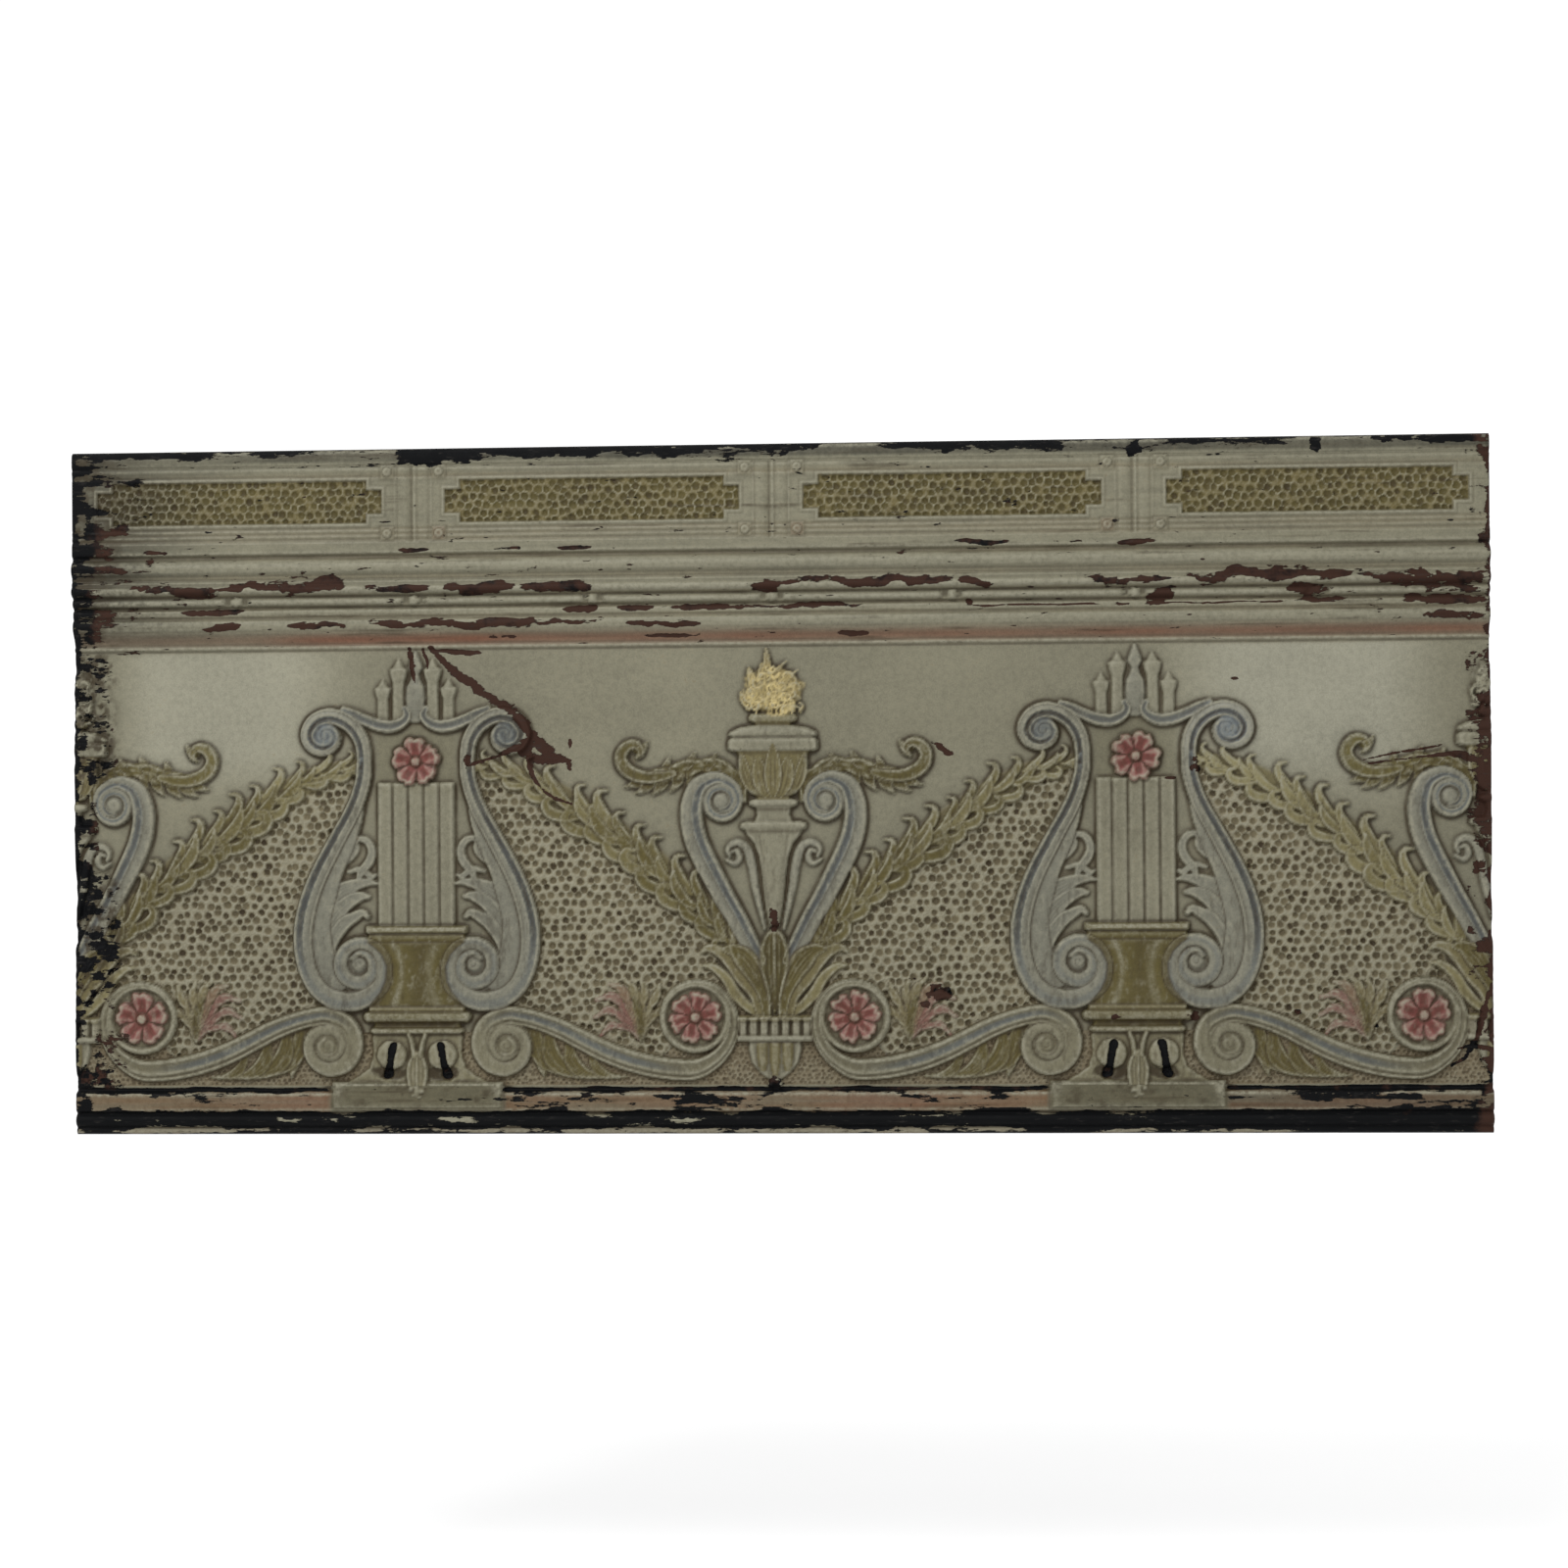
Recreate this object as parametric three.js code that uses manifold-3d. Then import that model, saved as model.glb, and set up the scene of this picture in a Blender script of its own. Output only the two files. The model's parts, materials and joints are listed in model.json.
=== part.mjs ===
// Pressed steel frieze panel: one painted sheet with a classical cornice, lyres, torches,
// leaf garlands, scrolls and rosettes, its four edges folded back and hemmed.
// Units are millimetres, +Z is up, and the ornament faces -Y.
// The origin is on the back of the top hem, in the middle of the panel's length.

import * as THREE from 'three';
import { mergeVertices } from 'three/addons/utils/BufferGeometryUtils.js';
import Module from 'manifold-3d';

const wasm = await Module();
wasm.setup();

// Driving dimensions of the sheet
const panelLength = 1192;
const panelHeight = 580;
const sheetThickness = 0.6;
const returnDepth = 14;
const hemWidth = 12;
const patternRepeat = 606;

// Ornament heights above the field
const lyreRelief = 6.5;
const scrollRelief = 6;
const torchRelief = 6.5;
const garlandRelief = 7;
const rosetteRelief = 6.5;
const leafRelief = 5;
const rootDepth = 0.3;

// Cornice section, read downwards: distance below the top edge, height above the field
const corniceSection = [
  [0, 4.5], [1.5, 8.8], [13, 9.6], [14.5, 7], [78, 7], [79.5, 9.6], [88, 9.6], [89.5, 6.8],
  [92, 6.8], [95, 11.4], [100, 13], [105, 10.4], [106.5, 8.6], [110, 8.6], [112, 10.4], [115, 11.2],
  [118, 12.8], [121, 11.4], [123.5, 6.2], [128, 8.6], [131, 7.4], [133, 4], [135, 4], [136, 6.8],
  [141, 6.8], [142.5, 5.2], [144.5, 8.2], [150, 8.2], [153, 6], [158, 3.2], [165, 1], [166, 2.2],
  [168.5, 2.2], [170, -0.6], [171, 0],
];

// Base section, read upwards: distance above the bottom edge, height above the field
const baseSection = [
  [0, 0.5], [1.5, 2.6], [4.5, 2.6], [6, 1], [8, 4.4], [12, 6], [16, 4.4], [18, 1.2],
  [19.5, 5], [35.5, 5], [37, -0.8], [38.5, -0.8], [40, 0],
];

// Cornice panels and their studs and buttons
const pocketTop = 27;
const pocketBottom = 63;
const pocketNotch = 8;
const pocketTab = 13;
const pocketMargin = 28;
const frameTop = 16;
const frameBottom = 77;
const frameHeight = 8.4;
const pocketFloor = 7;
const barHalfHeight = 32;
const buttonSize = 4.5;
const buttonOffset = 22;
const buttonRow = 26;
const studDrop = 128.5;
const studSize = 4;
const studPitch = 151.5;

const mountDrop = 6;
const fieldY = -returnDepth;
const bottomZ = mountDrop - panelHeight;
const lyrePlaces = [-patternRepeat / 2, patternRepeat / 2];
const torchPlaces = [-patternRepeat, 0, patternRepeat];
const halfLength = panelLength / 2;

// A point of the panel: x along it, z above the bottom edge, h in front of the field
function place(x, z, h) {
  return new THREE.Vector3(x, fieldY - h, z + bottomZ);
}

function solidFrom(geometry) {
  const bare = geometry.clone();
  bare.deleteAttribute('normal');
  bare.deleteAttribute('uv');
  const merged = mergeVertices(bare, 1e-3);
  return new wasm.Manifold(new wasm.Mesh({
    numProp: 3,
    vertProperties: new Float32Array(merged.attributes.position.array),
    triVerts: new Uint32Array(merged.index.array),
  }));
}

function join(solids) {
  let row = solids;
  while (row.length > 1) {
    const next = [];
    for (let i = 0; i < row.length; i += 2) {
      next.push(i + 1 < row.length ? row[i].add(row[i + 1]) : row[i]);
    }
    row = next;
  }
  return row[0];
}

// Turns drawn coordinates (z, h) and a run along the panel into the panel's own axes
function alongPanel(outline, xFrom, xTo) {
  const shape = new THREE.Shape(outline.map(([z, h]) => new THREE.Vector2(z, h)));
  const geometry = new THREE.ExtrudeGeometry(shape, { depth: xTo - xFrom, bevelEnabled: false });
  const axes = new THREE.Matrix4().makeBasis(
    new THREE.Vector3(0, 0, 1), new THREE.Vector3(0, -1, 0), new THREE.Vector3(1, 0, 0));
  axes.setPosition(place(xFrom, 0, 0));
  return solidFrom(geometry.applyMatrix4(axes));
}

// A flat plate with an outline in (x, z), from one height to another
function plate(outline, hBack, hFront) {
  const shape = new THREE.Shape(outline.map(([x, z]) => new THREE.Vector2(x, z)));
  const geometry = new THREE.ExtrudeGeometry(shape, { depth: hFront - hBack, bevelEnabled: false });
  geometry.rotateX(Math.PI / 2);
  const corner = place(0, 0, hBack);
  geometry.translate(corner.x, corner.y, corner.z);
  return solidFrom(geometry);
}

function rectangle(x0, z0, x1, z1) {
  return [[x0, z0], [x1, z0], [x1, z1], [x0, z1]];
}

// A band swept along a path of (x, z, half width). The section is a list of
// (share of the half width, share of the height); rows marked below go under the field.
const below = -1;
const channelSection = [[-1, below], [-0.68, 1], [0, 0.42], [0.68, 1], [1, below]];
const gableSection = [[-1, below], [0, 1], [1, below]];
const reedSection = [[-1, below], [-0.75, 0.8], [0, 1], [0.75, 0.8], [1, below]];

function sweepChunk(stations, section) {
  const ring = section.length;
  const corners = [];
  for (const s of stations) {
    for (const [across, up] of section) {
      const h = up === below ? -rootDepth : up * s.h;
      corners.push(place(s.x + s.nx * across * s.w, s.z + s.nz * across * s.w, h));
    }
  }
  const faces = [];
  for (let i = 0; i + 1 < stations.length; i += 1) {
    for (let j = 0; j < ring; j += 1) {
      const a = i * ring + j;
      const b = i * ring + (j + 1) % ring;
      faces.push(a, b, a + ring, b, b + ring, a + ring);
    }
  }
  const last = (stations.length - 1) * ring;
  for (let j = 1; j + 1 < ring; j += 1) {
    faces.push(0, j + 1, j, last, last + j, last + j + 1);
  }
  const geometry = new THREE.BufferGeometry();
  geometry.setAttribute('position', new THREE.Float32BufferAttribute(
    corners.flatMap((c) => [c.x, c.y, c.z]), 3));
  geometry.setIndex(faces);
  return facingOut(geometry);
}

function facingOut(geometry) {
  const at = geometry.attributes.position;
  const index = geometry.index.array;
  let volume = 0;
  const [a, b, c] = [new THREE.Vector3(), new THREE.Vector3(), new THREE.Vector3()];
  for (let i = 0; i < index.length; i += 3) {
    a.fromBufferAttribute(at, index[i]);
    b.fromBufferAttribute(at, index[i + 1]);
    c.fromBufferAttribute(at, index[i + 2]);
    volume += a.dot(b.cross(c));
  }
  if (volume < 0) {
    for (let i = 0; i < index.length; i += 3) {
      [index[i], index[i + 1]] = [index[i + 1], index[i]];
    }
  }
  return solidFrom(geometry);
}

// A curl overlaps itself, so the band is built from short stretches that share an end
const chunkSteps = 7;

function sweep(path, height, section) {
  const widest = Math.max(...path.map((p) => p.z));
  const stations = path.map((p, i) => {
    const before = path[Math.max(i - 1, 0)];
    const after = path[Math.min(i + 1, path.length - 1)];
    const run = Math.hypot(after.x - before.x, after.y - before.y);
    return {
      x: p.x,
      z: p.y,
      w: p.z,
      h: height * Math.min(1, 0.4 + 0.6 * p.z / widest),
      nx: (before.y - after.y) / run,
      nz: (after.x - before.x) / run,
    };
  });
  const chunks = [];
  for (let i = 0; i + 1 < stations.length; i += chunkSteps) {
    chunks.push(sweepChunk(stations.slice(i, i + chunkSteps + 1), section));
  }
  return join(chunks);
}

function smooth(points, steps) {
  const curve = new THREE.CatmullRomCurve3(points.map(([x, z, w]) => new THREE.Vector3(x, z, w)));
  return curve.getPoints(steps);
}

// A curl round a centre: the radius and half width fall from their first to their last value
function curl({ centre, from, turn, radius, width, fade, steps }) {
  const path = [];
  for (let i = 0; i <= steps; i += 1) {
    const turned = turn * i / steps;
    const angle = THREE.MathUtils.degToRad(from + turned);
    const left = Math.exp(-Math.abs(turned) / fade);
    const r = radius[1] + (radius[0] - radius[1]) * left;
    const w = width[1] + (width[0] - width[1]) * left;
    path.push(new THREE.Vector3(centre[0] + r * Math.cos(angle), centre[1] + r * Math.sin(angle), w));
  }
  return path;
}

// Copies of one path: mirrored about its own centre line and moved along the panel
function placed(path, side, x) {
  return path.map((p) => new THREE.Vector3(x + side * p.x, p.y, p.z));
}

// A round boss with a sloping side and a flat crown
function boss(x, z, radius, height, sides = 6) {
  const geometry = new THREE.CylinderGeometry(radius * 0.55, radius, height + rootDepth, sides);
  geometry.rotateX(Math.PI / 2);
  const at = place(x, z, (height - rootDepth) / 2);
  geometry.translate(at.x, at.y, at.z);
  return solidFrom(geometry);
}

// A turned form in half relief: rows of (half width, z) read upwards
function spindle(x, rows, height) {
  return sweep(rows.map(([w, z]) => new THREE.Vector3(x, z, w)), height, reedSection);
}

function rosette(x, z, radius, height, petals) {
  const rings = [[0.28, 0.55, 0.45], [0.66, 0.95, 0.45], [1, 0.4, 0.1]];
  const spokes = petals * 2;
  const corners = [place(x, z, height)];
  for (const [share, onPetal, between] of rings) {
    for (let i = 0; i < spokes; i += 1) {
      const angle = Math.PI * 2 * i / spokes;
      const petal = i % 2 === 0;
      const r = radius * share * (petal || share < 0.5 ? 1 : 0.88);
      corners.push(place(x + r * Math.cos(angle), z + r * Math.sin(angle),
        height * (petal ? onPetal : between)));
    }
  }
  const rim = corners.length - spokes;
  for (let i = 0; i < spokes; i += 1) {
    corners.push(corners[rim + i].clone().setY(fieldY + rootDepth));
  }
  corners.push(place(x, z, -rootDepth));
  const faces = [];
  for (let i = 0; i < spokes; i += 1) {
    const j = (i + 1) % spokes;
    faces.push(0, 1 + i, 1 + j);
    for (let k = 0; k < rings.length; k += 1) {
      const a = 1 + k * spokes;
      faces.push(a + i, a + spokes + i, a + j, a + j, a + spokes + i, a + spokes + j);
    }
    const foot = 1 + rings.length * spokes;
    faces.push(foot + i, corners.length - 1, foot + j);
  }
  const geometry = new THREE.BufferGeometry();
  geometry.setAttribute('position', new THREE.Float32BufferAttribute(
    corners.flatMap((c) => [c.x, c.y, c.z]), 3));
  geometry.setIndex(faces);
  return facingOut(geometry);
}

// Leaf with a ridge down its middle, from its root to its tip
function leaf(x0, z0, x1, z1, halfWidth, height, bend = 0) {
  const across = [-(z1 - z0) * bend, (x1 - x0) * bend];
  const at = (t, w) => {
    const bow = 4 * t * (1 - t);
    return new THREE.Vector3(x0 + (x1 - x0) * t + across[0] * bow, z0 + (z1 - z0) * t + across[1] * bow, w);
  };
  const path = [at(0, halfWidth * 0.4), at(0.5, halfWidth), at(1, halfWidth * 0.12)];
  return sweep(path, height, gableSection);
}

// The moulded sheet before ornament: the whole section, as a solid slab
function sectionLine() {
  const base = baseSection.map(([z, h]) => [z, h]);
  const cornice = corniceSection.map(([drop, h]) => [panelHeight - drop, h]).reverse();
  return [...base, ...cornice];
}

function heightOn(line, z) {
  for (let i = 0; i + 1 < line.length; i += 1) {
    const [z0, h0] = line[i];
    const [z1, h1] = line[i + 1];
    if (z >= z0 && z <= z1) {
      return z1 === z0 ? Math.min(h0, h1) : h0 + (h1 - h0) * (z - z0) / (z1 - z0);
    }
  }
  return z < line[0][0] ? line[0][1] : line[line.length - 1][1];
}

function mouldedSlab() {
  const line = sectionLine();
  const back = -returnDepth;
  const outline = [[0, back], ...line, [panelHeight, back]].reverse();
  return alongPanel(outline, -halfLength, halfLength);
}

// The hollow behind the sheet follows the section one sheet thickness back
function hollow() {
  const line = sectionLine();
  const t = sheetThickness;
  const stops = line.map(([z]) => z).filter((z) => z > t && z < panelHeight - t);
  const behind = [t, ...stops, panelHeight - t].map((z) => {
    const near = line.filter(([other]) => Math.abs(other - z) <= t).map(([, h]) => h);
    return [z, Math.min(heightOn(line, z - t), heightOn(line, z + t), ...near) - t];
  });
  const outline = [[t, t - returnDepth], ...behind, [panelHeight - t, t - returnDepth]].reverse();
  const room = alongPanel(outline, t - halfLength, halfLength - t);
  const mouth = plate(rectangle(hemWidth - halfLength, hemWidth, halfLength - hemWidth, panelHeight - hemWidth),
    -returnDepth - 1, -returnDepth + 2 * t);
  return room.add(mouth);
}

// Cornice: hammered pockets with notched corners, bars, buttons and stamped nail studs
function pocketOutline(x0, x1) {
  const top = panelHeight - pocketTop;
  const low = panelHeight - pocketBottom;
  const t = pocketTab;
  const n = pocketNotch;
  return [
    [x0 + t, low], [x1 - t, low], [x1 - t, low + n], [x1, low + n], [x1, top - n], [x1 - t, top - n],
    [x1 - t, top], [x0 + t, top], [x0 + t, top - n], [x0, top - n], [x0, low + n], [x0 + t, low + n],
  ];
}

function corniceFrame() {
  const half = patternRepeat / 2;
  const cuts = [];
  for (let i = -2; i < 2; i += 1) {
    const x0 = Math.max(i * half + pocketMargin, hemWidth - halfLength);
    const x1 = Math.min((i + 1) * half - pocketMargin, halfLength - hemWidth);
    cuts.push(plate(pocketOutline(x0, x1), 0, frameHeight + 1));
  }
  const face = plate(rectangle(-halfLength, panelHeight - frameBottom, halfLength,
    panelHeight - frameTop), pocketFloor - rootDepth, frameHeight);
  return face.subtract(join(cuts));
}

function corniceFittings() {
  const middle = panelHeight - (pocketTop + pocketBottom) / 2;
  const parts = [];
  for (const x of [...lyrePlaces, 0]) {
    for (const offset of [-14, 0, 14]) {
      const half = offset === 0 ? 4 : 1.4;
      parts.push(plate(rectangle(x + offset - half, middle - barHalfHeight, x + offset + half,
        middle + barHalfHeight), frameHeight - rootDepth, frameHeight + 1.4));
    }
    for (const side of [-1, 1]) {
      for (const row of [-buttonRow, buttonRow]) {
        parts.push(boss(x + side * buttonOffset, middle + row, buttonSize, frameHeight + 2.4));
      }
    }
  }
  return join(parts);
}

function nailStuds() {
  const parts = [];
  const count = Math.floor(halfLength / studPitch);
  for (let i = -count; i <= count; i += 1) {
    parts.push(boss(i * studPitch, panelHeight - studDrop, studSize, 9.6));
  }
  return join(parts);
}

// Lyre
const lyreArm = [
  ...curl({ centre: [74.5, 335.5], from: 180, turn: -350, radius: [33.5, 9], width: [6, 3.6],
    fade: 100, steps: 7 }).reverse(),
  ...smooth([[41, 335.5, 6], [41, 312, 6], [46, 280, 7], [67, 240, 9], [88, 200, 10], [96, 168, 10.5],
    [93.5, 141, 10.2]], 6).slice(1, -1),
  ...curl({ centre: [48.5, 141], from: 0, turn: -390, radius: [45, 12.5], width: [10.2, 4],
    fade: 130, steps: 8 }),
];

function lyre(x) {
  const parts = [];
  for (const side of [-1, 1]) {
    parts.push(sweep(placed(lyreArm, side, x), lyreRelief, channelSection));
    parts.push(boss(x + side * 74.5, 335.5, 5.5, lyreRelief * 0.8));
    parts.push(boss(x + side * 48.5, 141, 8.5, lyreRelief));
    parts.push(...lyreLeaves(x, side));
    parts.push(...lyreCrest(x, side));
  }
  for (let i = -2; i <= 2; i += 1) {
    parts.push(spindle(x + i * 13, [[5.4, 174], [5.4, 297]], 4.6));
  }
  parts.push(plate(rectangle(x - 32, 296, x + 32, 342), -rootDepth, 2.4));
  parts.push(rosette(x, 315, 20.5, rosetteRelief, 8));
  parts.push(plate(rectangle(x - 43, 169, x + 43, 176), -rootDepth, 7));
  parts.push(plate(rectangle(x - 40, 163, x + 40, 169), -rootDepth, 5));
  parts.push(spindle(x, [[40, 108], [27, 124], [25, 140], [34, 155], [41, 163.5]], 6.4));
  parts.push(plate(rectangle(x - 41, 104, x + 41, 108), -rootDepth, 6));
  parts.push(plate(rectangle(x - 46, 95.5, x + 46, 104), -rootDepth, 7.4));
  parts.push(plate(rectangle(x - 41, 84, x + 41, 91), -rootDepth, 6));
  parts.push(plate(rectangle(x - 36, 91, x + 36, 95.5), -rootDepth, 4));
  parts.push(...lyreFoot(x));
  return join(parts);
}

function lyreLeaves(x, side) {
  const at = (points) => points.map(([px, pz, w]) => [x + side * px, pz, w]);
  return [
    sweep(smooth(at([[66, 120, 3], [80, 150, 5], [76, 185, 5], [62, 206, 4], [40, 211, 2]]), 4),
      leafRelief, gableSection),
    sweep(smooth(at([[64, 206, 1.5], [52, 222, 3], [37, 238, 3.4], [44, 250, 3], [52, 243, 1.5]]), 5),
      leafRelief - 1, gableSection),
  ];
}

function lyreCrest(x, side) {
  return [
    sweep(smooth([[x + side * 55, 357, 3.4], [x + side * 34, 347, 4], [x + side * 15, 346, 3.6],
      [x + side * 4, 354, 2.4]], 3), 4.4, gableSection),
    sweep([[14.5, 352, 4.4], [14.5, 388, 4.6], [14.5, 393, 6.4], [14.5, 399, 3]].map(([px, pz, w]) =>
      new THREE.Vector3(x + side * px, pz, w)), 4, gableSection),
    sweep([[27.5, 352, 4.2], [27.5, 372, 4.4], [27.5, 377, 6], [27.5, 383, 3]].map(([px, pz, w]) =>
      new THREE.Vector3(x + side * px, pz, w)), 3.4, gableSection),
  ];
}

function lyreFoot(x) {
  const parts = [
    leaf(x, 84, x, 30, 7, 6),
    sweep([[0, 352, 3], [0, 364, 7], [0, 382, 6], [0, 390, 3.4], [0, 398, 5], [0, 412, 0.8]].map(
      ([px, pz, w]) => new THREE.Vector3(x + px, pz, w)), 4.4, gableSection),
    plate(rectangle(x - 73, 22, x + 73, 44), -rootDepth, 5.6),
  ];
  for (const side of [-1, 1]) {
    const lobe = curl({ centre: [19, 66], from: 200, turn: -300, radius: [13, 11], width: [3.4, 3],
      fade: 300, steps: 6 });
    parts.push(sweep(placed(lobe, side, x), 5, gableSection));
    parts.push(leaf(x + side * 26, 84, x + side * 57, 46, 6, 5, side * -0.15));
  }
  return parts;
}

// S-scroll from under the lyre to the ring round its rosette
const ringCentre = [238, 98];
const groundScroll = [
  ...curl({ centre: [80, 75], from: 90, turn: 360, radius: [25.5, 3], width: [7, 3.4],
    fade: 400, steps: 8 }).reverse(),
  ...smooth([[80, 100.5, 7], [106, 97, 7.4], [150, 74, 7.4], [190, 57, 7.6], [238, 53, 8]], 4)
    .slice(1, -1),
  ...curl({ centre: ringCentre, from: -90, turn: 290, radius: [45, 27], width: [8, 2.4],
    fade: 86, steps: 7 }),
];

function scrollSide(x, side) {
  const cx = x + side * ringCentre[0];
  return join([
    sweep(placed(groundScroll, side, x), scrollRelief, channelSection),
    boss(x + side * 80, 75, 6, scrollRelief),
    rosette(cx, ringCentre[1], 22.5, rosetteRelief, 8),
    ...[[155, 124], [178, 134], [201, 128]].map(([tx, tz]) =>
      leaf(x + side * 190, 88, x + side * tx, tz, 5.5, leafRelief, side * 0.12)),
    ...[[[108, 84], [106, 48]], [[122, 78], [136, 46]], [[142, 66], [170, 44]]].map(
      ([[rx, rz], [tx, tz]]) => leaf(x + side * rx, rz, x + side * tx, tz, 7, leafRelief - 1)),
  ]);
}

// Garland: two rows of overlapping leaves that point up to the lyre
const garlandPath = [[58, 308, 12], [95, 298, 15], [130, 277, 17], [160, 253, 18], [190, 222, 19],
  [215, 190, 18], [238, 158, 16], [255, 135, 12]];
const garlandLeaves = 10;

function garland(x, side) {
  const spine = smooth(garlandPath, garlandLeaves);
  const parts = [];
  for (let i = 0; i < garlandLeaves; i += 1) {
    const foot = spine[Math.min(i + 2, garlandLeaves)];
    const tip = spine[i];
    const run = Math.hypot(foot.x - tip.x, foot.y - tip.y);
    const nx = -(tip.y - foot.y) / run;
    const nz = (tip.x - foot.x) / run;
    const lean = i % 2 === 0 ? 1 : -1;
    const half = tip.z;
    parts.push(leaf(
      x + side * (foot.x + nx * lean * half * 0.3), foot.y + nz * lean * half * 0.3,
      x + side * (tip.x + nx * lean * half * 0.9), tip.y + nz * lean * half * 0.9,
      half * 0.62, garlandRelief, side * lean * -0.14));
  }
  return join(parts);
}

// Torch with its scroll arms, leaves and pendant
const torchArm = [
  ...curl({ centre: [43.5, 280], from: 0, turn: 340, radius: [24.5, 10.5], width: [8, 3.4],
    fade: 118, steps: 7 }).reverse(),
  ...smooth([[68, 280, 8], [60, 240, 6.6], [38, 200, 5], [19, 152, 2.4]], 4).slice(1),
];

function torch(x) {
  const parts = [
    plate(rectangle(x - 20, 345, x + 20, 353), -rootDepth, 6.4),
    plate(rectangle(x - 38, 322, x + 38, 333), -rootDepth, 8.4),
    spindle(x, [[36, 333], [34, 339], [14, 345]], 7.4),
    spindle(x, [[14, 281], [20, 300], [29, 322]], 7.4),
    plate(rectangle(x - 20, 274, x + 20, 282), -rootDepth, 7.4),
    spindle(x, [[4, 176], [12, 240], [16, 256]], 6),
    plate(rectangle(x - 25, 256, x + 25, 262), -rootDepth, 8),
    spindle(x, [[16, 262], [13, 274]], 6),
    ...[[-22, 393], [4, 411], [26, 381]].map(([tx, tz]) =>
      leaf(x + tx * 0.3, 351, x + tx, tz, 8, 5, 0.12)),
    ...[-13, 13].map((lx) => leaf(x + lx * 0.8, 284, x + lx * 1.4, 320, 7, 8.4)),
    leaf(x, 284, x, 325, 7, 9),
    leaf(x, 98, x, 176, 11, 6),
    plate(rectangle(x - 30, 82, x + 30, 97), -rootDepth, 5),
    plate(rectangle(x - 32, 77, x + 32, 82.5), -rootDepth, 6.4),
    plate([[x - 22, 78], [x - 22, 66], [x - 12, 50], [x, 45], [x + 12, 50], [x + 22, 66], [x + 22, 78]]
      .reverse(), -rootDepth, 3.4),
    boss(x, 41, 5.5, 5),
  ];
  for (const lx of [-12, 0, 12]) {
    parts.push(sweep(smooth([[x + lx, 78, 4], [x + lx * 0.7, 54, 2.6]], 1), 5.4, gableSection));
  }
  for (const side of [-1, 1]) {
    parts.push(sweep(placed(torchArm, side, x), torchRelief, channelSection));
    parts.push(boss(x + side * 43.5, 280, 7, torchRelief));
    parts.push(leaf(x + side * 9, 98, x + side * 50, 142, 9, leafRelief, side * 0.12));
    parts.push(sweep(smooth([[x + side * 28, 310, 5], [x + side * 60, 312, 6], [x + side * 98, 301, 6],
      [x + side * 124, 302, 5.6], [x + side * 131, 318, 4.4], [x + side * 114, 327, 2]], 6),
    leafRelief, gableSection));
    parts.push(leaf(x + side * 96, 303, x + side * 111, 287, 5, 4));
  }
  return join(parts);
}

function pressedPanel() {
  const sheet = mouldedSlab().add(corniceFrame());
  const ornaments = [corniceFittings(), nailStuds()];
  for (const x of lyrePlaces) {
    ornaments.push(lyre(x));
    for (const side of [-1, 1]) {
      ornaments.push(scrollSide(x, side));
      ornaments.push(garland(x, side));
    }
  }
  for (const x of torchPlaces) {
    ornaments.push(torch(x));
  }
  const bounds = plate(rectangle(-halfLength, 0, halfLength, panelHeight), -returnDepth, 40);
  return sheet.add(join(ornaments).intersect(bounds)).subtract(hollow());
}

function meshFrom(solid, name, material) {
  const { vertProperties, triVerts } = solid.getMesh();
  const geometry = new THREE.BufferGeometry();
  geometry.setAttribute('position', new THREE.BufferAttribute(new Float32Array(vertProperties), 3));
  geometry.setIndex(new THREE.BufferAttribute(new Uint32Array(triVerts), 1));
  geometry.computeVertexNormals();
  const mesh = new THREE.Mesh(geometry, material);
  mesh.name = name;
  return mesh;
}

const agedPaint = new THREE.MeshStandardMaterial({ color: 0xa9a592, roughness: 0.62, metalness: 0.05 });

const panel = new THREE.Group();
panel.add(meshFrom(pressedPanel(), 'pressed_panel', agedPaint));

export default panel;
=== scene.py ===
"""Pressed steel frieze panel: an old painted sheet with a cornice, lyres, torches, garlands and scrolls.

The relief is worked out as a height over the sheet, together with where each paint, glaze and worn
spot lies. Each operator turns one stretch of it into a mesh. Heights and places are in millimetres
until a mesh is made: x runs along the panel from its middle, z up from its bottom edge.
"""

import json

import bpy
import numpy as np
from mathutils import Matrix, Vector

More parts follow.
